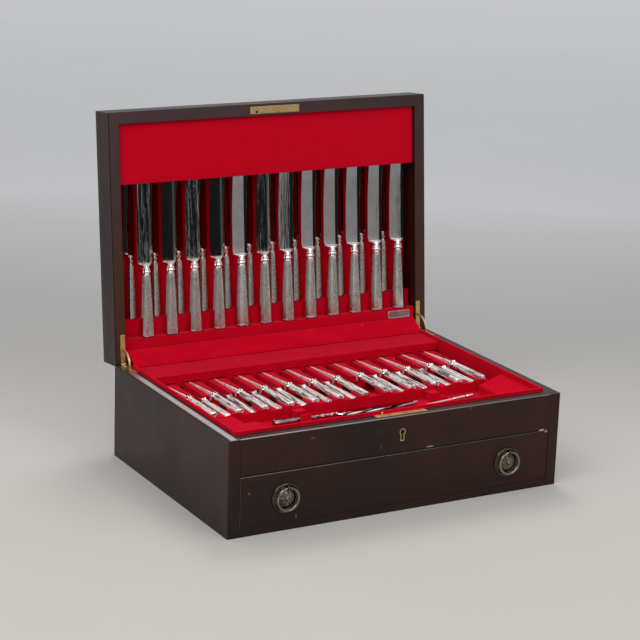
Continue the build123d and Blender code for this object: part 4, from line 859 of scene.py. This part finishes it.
def pillow_skin(low, high, crown, ease, cell):
    """Pad as six grids: a box whose edges are rounded by an ease and whose front is crowned.

    A point of each face, on [-1, 1] both ways, goes to the box. Its distance past the inner box,
    which is the box less the ease, is cut to the ease, and the front rises by
    crown * (1 - u^4) * (1 - v^4).
    """
    half = (np.array(high) - np.array(low)) / 2
    middle = (np.array(high) + np.array(low)) / 2
    steps = []
    for reach in half:
        rim = 1 - ease / reach * np.array([1.0, 0.5, 0.15, 0.0])
        flat = np.linspace(-rim[0], rim[0], max(int(2 * reach / cell), 2))
        steps.append(np.unique(np.concatenate([-rim, flat, rim])))
    points = []
    faces = []
    start = 0
    for axis in range(3):
        first, second = (other for other in range(3) if other != axis)
        u, v = np.meshgrid(steps[first], steps[second], indexing="ij")
        for side in (-1.0, 1.0):
            cube = np.zeros(u.shape + (3,))
            cube[..., first] = u
            cube[..., second] = v
            cube[..., axis] = side
            box = cube * half
            inner = np.clip(box, ease - half, half - ease)
            out = box - inner
            length = np.maximum(np.linalg.norm(out, axis=-1, keepdims=True), 1e-9)
            rounded = inner + out / length * np.minimum(length, ease)
            if axis == 1 and side < 0:
                rounded[..., 1] -= crown * (1 - u ** 4) * (1 - v ** 4)
            points.append((rounded + middle).reshape(-1, 3))
            faces += grid_faces(np.arange(u.size).reshape(u.shape) + start)
            start += u.size
    return np.concatenate(points), faces


def make_tip_pad():
    """Padded board over the blade tips: flat, a little crowned, with pulled-in soft edges."""
    points, faces = pillow_skin((-214.7, 4.2, 228.5), (214.7, 9.0, 305.0), 0.5, 1.1, 5.0)
    across, depth, height = points.T
    ruffle = 0.10 * np.sin(across / 17.0) * np.sin(height / 13.0 + 0.7)
    mesh = new_mesh("tip_pad_cover", lid_point(across, height, depth + ruffle), faces)
    turn_outwards(mesh, merged=True)
    pad = show(mesh, PAD_VELVET)
    declare(pad, "lid", "tip_pad")


CLOTH_HALF_WIDTH = 212.6
CLOTH_THICKNESS = 0.5
CLOTH_STEPS = (140, 22)
FOLD_HEIGHT = 0.28


def make_hinge_cloth():
    """Velvet strip from the base's platform over the back rim up to the lid's racks.

    The line runs through four points with eased bends; folds are low waves across the strip,
    strongest half-way along it.
    """
    corners = np.array([
        (139.2, 119.75),
        (142.4, 124.2),
        lid_point(0.0, 15.3, 0.0)[1:] + (-0.75, 0.3),
        lid_point(0.0, 18.0, 3.0)[1:] + (-0.2, 0.3),
    ])
    run = np.concatenate([[0], np.cumsum(np.linalg.norm(np.diff(corners, axis=0), axis=1))])
    length = run[-1]
    share = np.linspace(0, 1, CLOTH_STEPS[1])
    line = np.stack([np.interp(share * length, run, column) for column in corners.T], -1)
    for _ in range(2):
        line[1:-1] = (line[:-2] + 2 * line[1:-1] + line[2:]) / 4
    across = np.linspace(-CLOTH_HALF_WIDTH, CLOTH_HALF_WIDTH, CLOTH_STEPS[0])[:, None]
    waves = np.sin(across / 31.0 + 3 * share) + 0.6 * np.sin(across / 11.0 + 1.3)
    fold = FOLD_HEIGHT * np.sin(np.pi * share) * waves
    y, z = line[:, 0] - np.abs(fold) * 0.5, line[:, 1] + fold * 0.4
    points = np.stack(np.broadcast_arrays(across, y, z), -1)
    index = np.arange(fold.size).reshape(fold.shape)
    cloth = show(new_mesh("hinge_cloth_velvet", points.reshape(-1, 3), grid_faces(index)), CLOTH_VELVET)
    wall = cloth.modifiers.new("thickness", "SOLIDIFY")
    wall.thickness = CLOTH_THICKNESS * MM
    wall.offset = 0.0
    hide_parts("hinge_cloth")
    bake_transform(cloth)


# ---------------- knives in the lid
# Handles are (distance, width, height) stations, and turned parts (distance, radius, depth of lobes).
LidKnife = namedtuple("LidKnife", (
    "row", "shift", "butt", "depth", "turns", "streaks", "handle", "ease", "collar_at", "collar", "steps",
    "around", "lobes", "fan_at", "fan", "blade_at", "blade",
))
TABLE_KNIFE = LidKnife(
    row="table", shift=7.5, butt=30.5, depth=10.6,
    turns=(-5.4, -5.2, -4.9, -5.1, 4.0, -4.5, 2.2, 4.5, 5.0, 5.6, 6.1, 6.6),
    streaks=(1.9, 0.30, 2.4, 0.15, 0.15, 2.0, 0.5, 0.12, 0.15, 0.2, 0.12, 0.2),
    handle=(
        (0.0, 13.2, 5.4), (0.5, 15.2, 7.4), (1.3, 16.8, 8.9), (2.4, 17.4, 9.4), (3.2, 17.1, 9.2),
        (3.8, 16.6, 8.9), (4.6, 16.9, 9.1), (20.0, 15.7, 8.8), (40.0, 14.2, 8.4), (60.0, 12.5, 8.0),
        (74.0, 11.2, 7.8), (78.5, 10.7, 7.7), (80.0, 11.0, 7.9), (80.6, 8.8, 6.6),
    ),
    ease=0.35,
    collar_at=80.2,
    collar=(
        (0.0, 4.4), (0.4, 5.0), (1.6, 5.1), (2.0, 4.3), (2.6, 4.0, 0.03), (3.4, 4.9, 0.10),
        (5.0, 5.2, 0.12), (6.4, 4.7, 0.10), (7.0, 4.1, 0.05), (7.8, 4.7, 0.10), (8.8, 4.5, 0.13),
        (10.2, 3.5, 0.05),
    ),
    steps=45, around=40, lobes=8,
    fan_at=90.0,
    fan=dict(height=6.4, width=20.0, foot=3.6, thickness=1.8),
    blade_at=95.8,
    blade=dict(length=150.8, width=20.0, thickness=1.9, lift=1.6, tip_drop=12.0),
)
DESSERT_KNIFE = LidKnife(
    row="dessert", shift=-8.0, butt=52.8, depth=24.0,
    turns=(-5.6, -5.2, -4.8, -4.5, -4.1, -3.8, -3.4, -3.1, -2.7, -2.4, -2.0, -1.7),
    streaks=(0.3,) * PLACES,
    handle=(
        (0.0, 9.4, 4.6), (0.7, 11.0, 6.2), (1.8, 11.9, 7.0), (2.8, 12.0, 7.0), (20.0, 11.0, 6.6),
        (40.0, 9.8, 6.2), (60.0, 8.4, 5.8), (68.0, 7.8, 5.6), (70.0, 8.1, 5.7), (70.6, 6.4, 4.8),
    ),
    ease=0.25,
    collar_at=70.3,
    collar=(
        (0.0, 2.9), (0.6, 3.3), (1.8, 3.3), (2.4, 2.5), (4.0, 2.2, 0.05), (5.6, 2.9, 0.12),
        (7.2, 2.9, 0.12), (8.4, 2.2), (9.0, 2.1), (9.6, 3.5), (10.2, 3.9), (11.4, 3.9),
        (12.2, 2.6), (13.0, 2.2),
    ),
    steps=50, around=32, lobes=6,
    fan_at=None, fan=None,
    blade_at=83.0,
    blade=dict(length=126.0, width=15.0, thickness=1.7, lift=7.0, tip_drop=9.0),
)


def blade_shape(plane, length, width, thickness, lift, tip_drop):
    """Blade on edge-to-spine sections: a hollow-ground wedge with a narrow back bevel.

    Across: thin edge at the left, full thickness at 80 % and a bevel to the spine at the right.
    The edge draws in to the spine above the lower third and rounds over to it at the tip.
    """
    heel = [0.0, 0.01, 0.03, 0.06]
    share = np.concatenate([heel, np.linspace(0.1, 0.86, 16), 1 - 0.14 * np.linspace(0.9, 0.0, 10) ** 2])
    right = width * 0.4 - width * 0.16 * np.clip((share - 0.86) / 0.14, 0, 1) ** 2
    rounded = np.clip((share - 0.84) / 0.16, 0, 1)
    left = lift * (1 - np.clip(share / 0.035, 0, 1)) ** 1.5 - width * 0.6
    left += 2.8 * np.clip((share - 0.30) / 0.42, 0, 1.4) ** 1.5
    left += tip_drop * (1 - np.sqrt(np.clip(1 - rounded ** 2, 0, 1)))
    left = np.minimum(left, right - 0.4)
    stops = np.array([0.0, 0.0, 0.38, 0.80, 0.84, 1.0])
    heights = np.array([0.10, 0.16, 0.60, 1.0, 0.98, 0.74]) * thickness / 2
    across = left[:, None] + (right - left)[:, None] * stops
    upper = np.stack(np.broadcast_arrays(across, heights), -1)
    lower = upper[:, ::-1] * (1, -1)
    return along(np.concatenate([lower, upper], 1), share * length, plane)


def fan_shape(plane, height, width, foot, thickness):
    """Fan between ferrule and blade: round at the foot, as wide and thin as the blade at the top.

    The left side flares late, the right side early, and a raised bar closes the top.
    """
    share = np.array([0.0, 0.10, 0.22, 0.36, 0.5, 0.64, 0.76, 0.86, 0.875, 0.90, 0.96, 1.0])
    spread = np.clip(share / 0.86, 0, 1)
    left = (foot - width * 0.56) * spread ** 2.2 - foot
    right = (width * 0.39 - foot) * spread ** 1.2 + foot
    thin = foot * 0.92 + (thickness * 0.75 - foot * 0.92) * np.clip(share / 0.80, 0, 1) ** 0.8
    thin = np.where(share >= 0.875, thickness * 1.15, thin)
    thin = np.where(share >= 1.0, thickness * 0.85, thin)
    x, y = squared(turns_of(28), np.where(share < 0.5, 1.0, 0.6)[:, None])
    section = np.stack([
        (left + right)[:, None] / 2 + (right - left)[:, None] / 2 * x,
        thin[:, None] * y,
    ], -1)
    return along(section, share * height, plane)


def mark_streaks(piece, amounts):
    """Gives each of a row of equal blades its own amount of streaks."""
    mark = piece.data.attributes.new("streaks", "FLOAT", "POINT")
    mark.data.foreach_set("value", np.repeat(np.array(amounts), len(mark.data) // len(amounts)))


def knife_frame(knife, place, rise):
    """Place and directions of a part of one knife of a row, turned about its own upright axis."""
    across = knife.shift + LID_PITCH * (place - (PLACES - 1) / 2)
    turn = math.radians(knife.turns[place])
    right = np.array(LID_RIGHT) * math.cos(turn) + np.array(LID_OUT) * math.sin(turn)
    out = np.array(LID_OUT) * math.cos(turn) - np.array(LID_RIGHT) * math.sin(turn)
    return lid_point(across, knife.butt + rise, knife.depth), right, out, LID_UP


def make_lid_knives(knife):
    """Row of twelve equal knives standing in the lid: their handles, their ferrules and their blades."""
    handles, ferrules, blades = [], [], []
    for place in range(PLACES):
        handles.append(handle_shape(knife_frame(knife, place, 0.0), knife.handle, 0.30, knife.ease))
        collar = knife_frame(knife, place, knife.collar_at)
        ferrules.append(turned_shape(knife.collar, knife.steps, collar, knife.around, knife.lobes))
        if knife.fan:
            ferrules.append(fan_shape(knife_frame(knife, place, knife.fan_at), **knife.fan))
        blades.append(blade_shape(knife_frame(knife, place, knife.blade_at), **knife.blade))
    row = knife.row
    make_piece(
        row + "_handles_faceted", handles, SILVER, 30, "lid", row + "_knife_handles",
    )
    make_piece(row + "_ferrules", ferrules, BRIGHT_SILVER, 38, "lid")
    ground = make_piece(
        row + "_blades_ground", blades, STEEL, 1.0, "lid", row + "_knife_blades",
    )
    mark_streaks(ground, knife.streaks)


# ---------------- tray cutlery
TRAY_HANDLE = (
    (0.0, 8.6, 4.6), (0.5, 10.2, 6.2), (1.3, 11.0, 7.0), (3.0, 11.0, 7.0), (20.0, 10.2, 7.0),
    (40.0, 9.2, 6.9), (56.0, 8.2, 6.8), (61.0, 7.9, 6.7), (62.0, 8.4, 7.0), (62.6, 6.4, 5.6),
)
TRAY_BOLSTER = (
    (0.0, 3.0), (0.5, 3.7), (1.6, 3.7), (2.2, 2.9), (3.2, 3.1, 0.06), (4.6, 4.2, 0.13),
    (6.6, 4.7, 0.14), (8.4, 4.5, 0.14), (9.8, 3.6, 0.12), (10.6, 2.9, 0.03), (11.2, 3.4), (12.2, 3.3),
    (13.0, 2.2), (14.0, 1.6),
)
FORK_HANDLE = (
    (0.0, 7.0, 2.6), (0.5, 8.6, 3.9), (1.3, 9.4, 4.5), (3.0, 9.4, 4.5), (20.0, 8.6, 4.5),
    (40.0, 7.4, 4.4), (56.0, 6.4, 4.2), (61.0, 6.2, 4.1), (62.0, 6.6, 4.4), (62.6, 5.0, 3.6),
)
FORK_KNOB = (
    (0.0, 2.4), (0.8, 3.1), (1.8, 2.6, 0.05), (3.0, 3.5, 0.16), (4.4, 3.9, 0.16), (5.8, 3.4, 0.14),
    (6.8, 2.4, 0.05), (7.6, 2.6), (8.6, 1.8), (10.0, 1.2),
)
KNOB_AT = 62.0
TRAY_BLADE_START = 29.5
TRAY_BLADE_LENGTH = 95.0
STEM_AT = 70.0
STEM_LENGTH = 60.0
FORK_HEAD_Y = 82.0
TINES = (-7.5, -2.5, 2.5, 7.5)


def tray_blade_shape(across):
    """Knife blade standing on its edge in the tray: a thin leaf with a rounded spine.

    Its lower line dips into the slot, its upper line is nearly straight, and both close at the point.
    """
    y = TRAY_BLADE_START + np.linspace(0, 1, 28) * TRAY_BLADE_LENGTH
    low = np.interp(y, [29, 35, 49, 111, 124], [109.0, 99.0, 97.0, 97.0, 102.0])
    high = np.interp(y, [29, 35, 97, 111, 124], [112.2, 112.2, 107.7, 107.5, 103.0])
    tall = np.maximum((high - low) / 2, 0.3)[:, None]
    stout = np.interp(y, [29, 45, 100, 124], [1.6, 1.5, 0.9, 0.5])[:, None]
    z = (low + high)[:, None] / 2 + tall * np.array([-1.0, -0.6, 0.0, 0.7, 0.93, 1.0])
    thick = stout * np.array([0.12, 0.35, 0.62, 1.0, 0.95, 0.6])
    right, left = (np.stack(np.broadcast_arrays(across + x, y[:, None], z), -1) for x in (thick, -thick))
    return np.concatenate([right, left[:, ::-1]], 1)


def strip_shape(line, width, thickness):
    """Rounded bar carried along a line in a plane across X, with a width and a thickness at each point."""
    ahead = np.gradient(line, axis=0)
    ahead /= np.linalg.norm(ahead, axis=1, keepdims=True)
    right = np.array([1.0, 0.0, 0.0])
    up = np.cross(right, ahead)
    x, y = squared(turns_of(16), 0.7)
    wide = (width / 2)[:, None, None] * x[:, None] * right
    return line[:, None, :] + wide + (thickness / 2)[:, None, None] * y[:, None] * up[:, None, :]


def fork_head_shapes(across):
    """Fork beyond its handle: a stem that sinks to the tray, the shoulders and four tines."""
    share = np.linspace(0, 1, 18)
    sunk = FORK_Z + (FORK_HEAD_Z - FORK_Z) * share * share * (3 - 2 * share)
    stem = np.stack([np.full_like(share, across), FORK_END + STEM_AT + share * STEM_LENGTH, sunk], -1)
    shapes = [strip_shape(stem, 3.6 - 0.6 * np.sin(np.pi * share), 2.0 - 0.4 * share)]
    share = np.linspace(0, 1, 12)
    curve = FORK_HEAD_Z - 0.6 * np.sin(np.pi * share)
    shoulder = np.stack([np.full_like(share, across), FORK_HEAD_Y + 16 * share, curve], -1)
    wide = np.interp(share, [0, 0.3, 0.8, 1], [3.4, 8.0, 17.0, 17.6])
    shapes.append(strip_shape(shoulder, wide, np.full_like(share, 1.6)))
    wide = np.interp(share, [0, 0.9, 1], [3.0, 2.2, 0.9])
    thick = np.interp(share, [0, 0.9, 1], [1.6, 1.3, 0.6])
    curve = FORK_HEAD_Z + 0.8 * np.sin(2.6 * share)
    for tine in TINES:
        line = np.stack([across + tine * (1 - 0.06 * share), FORK_HEAD_Y + 15 + 30 * share, curve], -1)
        shapes.append(strip_shape(line, wide, thick))
    return shapes


def make_tray_knives():
    """Twelve knives on edge with their bolsters, each tipped a little its own way."""
    handles, bolsters, blades = [], [], []
    for place in range(PLACES):
        across = TRAY_FIRST + TRAY_PITCH * place
        tip = 2.5 * math.sin(2.3 * place + 0.4)
        handles.append(handle_shape(tray_frame(across, KNIFE_END, KNIFE_Z, tip), TRAY_HANDLE, 0.28, 0.3))
        knob = tray_frame(across, KNIFE_END + KNOB_AT, KNIFE_Z, tip)
        bolsters.append(turned_shape(TRAY_BOLSTER, 56, knob, 40, 6))
        blades.append(tray_blade_shape(across))
    make_piece(
        "tray_handles_faceted", handles, TRAY_SILVER, 30, "case", "tray_knife_handles",
    )
    make_piece("tray_bolsters", bolsters, BRIGHT_SILVER, 45, "case")
    make_piece("tray_blades_ground", blades, TRAY_STEEL, 12, "case", "tray_knife_blades")


def make_forks():
    """Forks lying low beside the knives."""
    handles, heads = [], []
    for place in range(PLACES):
        if place in FORKLESS_PLACES:
            continue
        across = TRAY_FIRST + TRAY_PITCH * place - FORK_FROM_KNIFE
        tip = 3.0 * math.sin(1.7 * place + 1.1)
        handles.append(handle_shape(tray_frame(across, FORK_END, FORK_Z, tip), FORK_HANDLE, 0.30, 0.25))
        knob = tray_frame(across, FORK_END + KNOB_AT, FORK_Z, tip)
        handles.append(turned_shape(FORK_KNOB, 44, knob, 36, 5))
        heads += fork_head_shapes(across)
    make_piece("fork_handles", handles, TRAY_SILVER, 35, "case", "tray_forks")
    make_piece("fork_heads", heads, SILVER, 40, "case")


# ---------------- trough cutlery
SERVING_HANDLE = (
    (0.0, 7.4, 3.2), (1.0, 10.4, 5.0), (2.6, 12.0, 6.0), (6.0, 11.6, 5.9), (30.0, 9.4, 5.8),
    (52.0, 7.2, 5.6), (54.0, 6.4, 5.4),
)
SERVING_LIFT = 3.1
SERVING_BUTT_X = -122.0
SERVING_SHAFT_X = -68.0
SERVING_SHAFT_LENGTH = 34.0
SERVING_BLADE_X = -34.0
SERVING_BLADE_LENGTH = 117.0
SKEWER_START = (20.0, -86.0)
SKEWER_END = (164.0, -64.0)
SKEWER_LIFT = 2.1


def make_serving_knife():
    """Serving knife with a flat butt, a twisted shaft and a broad blade lying flat."""
    ahead = (0.0, TROUGH_MIDDLE)
    butt = trough_frame((SERVING_BUTT_X, TROUGH_MIDDLE), ahead, SERVING_LIFT)
    neck = trough_frame((SERVING_SHAFT_X, TROUGH_MIDDLE), ahead, SERVING_LIFT)
    run = np.linspace(0, SERVING_SHAFT_LENGTH, 90)
    shaft = np.stack([run, 1.9 + 0.30 * np.cos(run * 0.9), np.full_like(run, 0.16)], -1)
    stacks = [
        handle_shape(butt, SERVING_HANDLE, 0.3, 0.4),
        turned_shape(shaft, len(run), neck, 32, 3, twist=0.55),
    ]
    make_piece("serving_handle", stacks, DULL_SILVER, 35, "case", "serving_knife_handle")
    share = np.linspace(0, 1, 30)[:, None]
    wide = np.interp(share, [0, 0.05, 0.66, 0.9, 1.0], [4.0, 16.6, 16.6, 9.0, 1.6])
    middle = TROUGH_MIDDLE + np.interp(share, [0, 0.66, 0.9, 1.0], [0.0, 0.0, 2.6, 3.6])
    x = SERVING_BLADE_X + SERVING_BLADE_LENGTH * share
    y = middle + wide / 2 * np.array([-1.0, -0.55, 0.55, 0.9, 1.0])
    thick = np.array([0.1, 0.6, 0.95, 0.9, 0.4])
    lie = TROUGH_FLOOR + SERVING_LIFT
    upper, lower = (np.stack(np.broadcast_arrays(x, y, lie + z), -1) for z in (thick, -thick))
    stacks = [np.concatenate([upper, lower[:, ::-1]], 1)]
    make_piece("serving_blade_ground", stacks, STEEL, 8, "case", "serving_knife_blade")


def make_skewer():
    """Skewer with a point, a long plain rod, a beaded grip and a collared end."""
    run = math.dist(SKEWER_START, SKEWER_END)
    profile = (
        (0.0, 0.3), (8.0, 1.4), (run - 34.0, 1.5), (run - 30.0, 1.9, 0.10), (run - 13.0, 1.9, 0.10),
        (run - 11.0, 1.4), (run - 8.5, 2.0), (run - 1.0, 1.9), (run, 1.0),
    )
    rod = turned_shape(profile, 80, trough_frame(SKEWER_START, SKEWER_END, SKEWER_LIFT), 24, 2, 0.8)
    make_piece("skewer_turned", [rod], BRIGHT_SILVER, 40, "case", "skewer")


# ---------------- ring pulls and plaque
DISH = (
    (0.02, 18.6), (0.9, 18.7), (1.7, 18.3), (2.3, 17.4), (2.2, 16.6), (1.3, 15.9),
    (1.05, 14.6), (1.45, 13.8), (1.1, 13.0), (0.9, 10.6), (1.3, 9.4), (1.4, 7.0),
    (1.4, 0.4),
)
BEADS = ((1.2, 9.4), (1.9, 9.3, 0.045), (2.6, 8.8, 0.06), (2.6, 8.0, 0.05), (1.8, 7.4))
PETALS = ((1.2, 7.6), (2.6, 7.7, 0.06), (3.9, 6.9, 0.12), (4.5, 5.2, 0.16), (4.0, 3.7, 0.10), (3.9, 3.2))
HEART = (
    (3.6, 3.5), (4.6, 3.3, 0.05), (5.2, 2.6, 0.08), (5.0, 2.2), (5.9, 2.2), (6.9, 1.6),
    (7.35, 0.7), (7.45, 0.05),
)
RING_RADIUS = 13.75
RING_OUT = 6.4
WIRE_RADIUS = 1.75
WIRE_WEAR = 0.07
LUG_ROOT = 0.8
LUG_LENGTH = 8.6


def lug_shape(centre):
    """Lug that holds the ring: an oval bar that swells about it and narrows to its end."""
    share = np.linspace(0, 1, 20)
    tall = np.interp(share, [0, 0.4, 0.7, 1.0], [6.4, 6.0, 7.4, 3.0])[:, None]
    wide = np.interp(share, [0, 0.25, 1.0], [5.4, 4.4, 3.4])[:, None]
    angle = turns_of(24)
    section = np.stack([wide / 2 * np.cos(angle), tall / 2 * np.sin(angle)], -1)
    return along(section, LUG_ROOT + share * LUG_LENGTH, front_frame(centre, PULL_Z + RING_RADIUS))


def ring_shape(centre):
    """Ring hanging from its lug: a torus whose wire is worn thinner at the top."""
    angle = turns_of(96)[:, None]
    wire = turns_of(20)
    stout = WIRE_RADIUS * (1 - WIRE_WEAR * (1 + np.cos(angle)))
    reach = RING_RADIUS + stout * np.cos(wire)
    depth = FRONT_Y - RING_OUT - stout * np.sin(wire)
    return np.stack([centre + reach * np.sin(angle), depth, PULL_Z + reach * np.cos(angle)], -1)


def make_pulls():
    """Two ring pulls: dished plate, beaded border, petalled rosette with its heart, lug and worn ring."""
    plates, roses = [], []
    for side, centre in (("left", -PULL_X), ("right", PULL_X)):
        face = front_frame(centre, PULL_Z)
        plates += [turned_shape(DISH, 92, face, 96, 0), lug_shape(centre)]
        roses += [
            turned_shape(BEADS, 24, face, 108, 18),
            turned_shape(PETALS, 40, face, 96, 8),
            turned_shape(HEART, 44, face, 48, 6),
        ]
        make_piece(
            "worn_ring_" + side, [ring_shape(centre)], AGED_RING, None, "ring_" + side,
            "pull_ring_" + side, looped=True,
        )
    make_piece("dished_backplates", plates, AGED_PLATE, 35, "drawer", "pull_backplates")
    make_piece("petalled_rosettes", roses, AGED_ROSE, 50, "drawer", "pull_posts")


PLAQUE_PLACE = (191.0, 23.6, 4.2)
PLAQUE_WIDTH = 34.8
PLAQUE_HEIGHT = 10.0
PLAQUE_CORNER = 2.5
PLAQUE_STEPS = ((0.0, 0.02), (0.05, 0.42), (0.25, 0.60), (0.75, 0.62), (0.95, 0.50), (1.05, 0.34))


def make_plaque():
    """Bare plaque: rounded frame with a raised rim about a sunk field.

    Rings of a rounded rectangle, each stepped in by an inset and lifted by a height.
    """
    across, height, depth = PLAQUE_PLACE
    cosine, sine = np.cos(turns_of(96)), np.sin(turns_of(96))
    rings = []
    for inset, lift in PLAQUE_STEPS:
        radius = max(PLAQUE_CORNER - inset, 0.4)
        x = np.sign(cosine) * (PLAQUE_WIDTH / 2 - inset - radius) + radius * cosine
        z = np.sign(sine) * (PLAQUE_HEIGHT / 2 - inset - radius) + radius * sine
        rings.append(lid_point(across + x, height + z, depth - lift))
    stacks = [np.stack(rings)]
    piece = make_piece("bare_plaque", stacks, PLAQUE_RIM, 40, "lid", "name_plate")
    piece.data.materials.append(PLAQUE_FIELD)
    piece.data.polygons[len(piece.data.polygons) - 1].material_index = 1


# ---------------- stage
FLOOR_REACH = 14000.0
CARD_Y = -1900.0
CARD_CORNERS = ((660.0, 0.0), (2260.0, 0.0), (2260.0, 600.0), (660.0, 600.0))


def make_panel(name, corners, material):
    """Flat panel of the stage between four corners in mm."""
    panel = show(new_mesh(name, corners, [(0, 1, 2, 3)]), material)
    return panel


def make_floor():
    """Pale seamless floor painted with light and shade by distance: a band of painted shade behind the
    chest, as where a backdrop starts to rise, and paler far off.
    """
    material, tree, shader, place = new_material("studio_floor")
    x, y, _ = split(tree, place)
    far = total(tree, product(tree, x, math.sin(CAMERA_YAW)), product(tree, y, math.cos(CAMERA_YAW)), 1.0)
    # Painted shade band and painted brightening along the direction of view.
    tone = ramp(tree, product(tree, far, 1 / 6), (
        (0.08, (0.582, 0.560, 0.530)), (0.18, (0.580, 0.565, 0.540)), (0.25, (0.400, 0.393, 0.388)),
        (0.32, (0.405, 0.404, 0.408)), (0.43, (0.606, 0.610, 0.626)), (1.0, (0.950, 0.968, 1.000)),
    ), "B_SPLINE")
    feed(tree, shader, {
        "Base Color": mix(tree, 0.06, tone, noise(tree, place, 3.0, 5.0, 0.6), "MULTIPLY"),
        "Roughness": 0.75,
        "Specular IOR Level": 0.2,
        "Normal": bumped(tree, noise(tree, place, 260.0, 4.0, 0.6), 0.08, 0.0005),
    })
    make_panel("studio_floor", [
        (-FLOOR_REACH, -FLOOR_REACH, 0.0), (FLOOR_REACH, -FLOOR_REACH, 0.0),
        (FLOOR_REACH, FLOOR_REACH, 0.0), (-FLOOR_REACH, FLOOR_REACH, 0.0),
    ], material)


def make_card():
    """Black card beside the lamps, seen only in reflections, that darkens the mirrored blades."""
    material, tree, shader, place = new_material("black_card")
    reflected_grey = ramp(tree, product(tree, split(tree, place)["X"], 0.4), (
        (0.264, 0.30), (0.300, 0.03), (0.330, 0.008), (0.570, 0.008), (0.640, 0.12), (0.90, 0.22),
    ))
    uneven = product(tree, noise(tree, place, 5.0), 0.012)
    feed(tree, shader, {"Base Color": total(tree, reflected_grey, uneven), "Roughness": 1.0})
    card = make_panel("black_card", [(x, CARD_Y, z) for x, z in CARD_CORNERS], material)
    card.visible_camera = False
    card.visible_diffuse = False
    card.visible_shadow = False


def make_world():
    """Even studio surround, brighter overhead than at eye level."""
    world = bpy.data.worlds.new("studio")
    bpy.context.scene.world = world
    world.use_nodes = True
    tree = world.node_tree
    rise = split(tree, add_node(tree, "TexCoord")["Generated"])["Z"]
    tones = ((0.0, (0.40, 0.40, 0.41)), (0.35, (0.52, 0.52, 0.52)), (1.0, (0.72, 0.72, 0.71)))
    feed(tree, tree.nodes["Background"].inputs, {"Color": ramp(tree, rise, tones), "Strength": 1.0})


# ---------------- finishes of the solids
FINISHES = (
    (BOARD_ACROSS, ("back_panel", "bottom_board", "dust_board", "drawer_back", "drawer_bottom")),
    (BOARD_ALONG, ("side_right", "drawer_side_left", "drawer_side_right")),
    (BOARD_PAINTED_SHEEN, ("side_left",)),
    (BOARD_FRONT, ("front_rail", "drawer_front")),
    (LID_BOARD_ACROSS, ("lid_back_rail", "lid_front_rail", "lid_panel")),
    (LID_BOARD_UPRIGHT, ("lid_side_left", "lid_side_right")),
    (BRASS, (
        "base_hinge_leaves", "lid_hinge_leaves", "hinge_pins", "hinge_stays", "base_hinge_screws",
        "lid_screws", "lock_plate", "staple_plate", "keyhole_liner", "lock_case", "lock_bolt",
    )),
)

make_camera()
make_world()
make_floor()
make_card()
for lamp in LAMPS:
    make_lamp(lamp)
for finish, solid_names in FINISHES:
    for solid_name in solid_names:
        NODES[solid_name].data.materials[0] = finish
for solid_name, ease, body in BOARDS:
    velvet_board(solid_name, ease, body)
make_tip_pad()
make_hinge_cloth()
make_lid_knives(TABLE_KNIFE)
make_lid_knives(DESSERT_KNIFE)
make_tray_knives()
make_forks()
make_serving_knife()
make_skewer()
make_pulls()
make_plaque()

bpy.context.scene.view_settings.view_transform = "Standard"
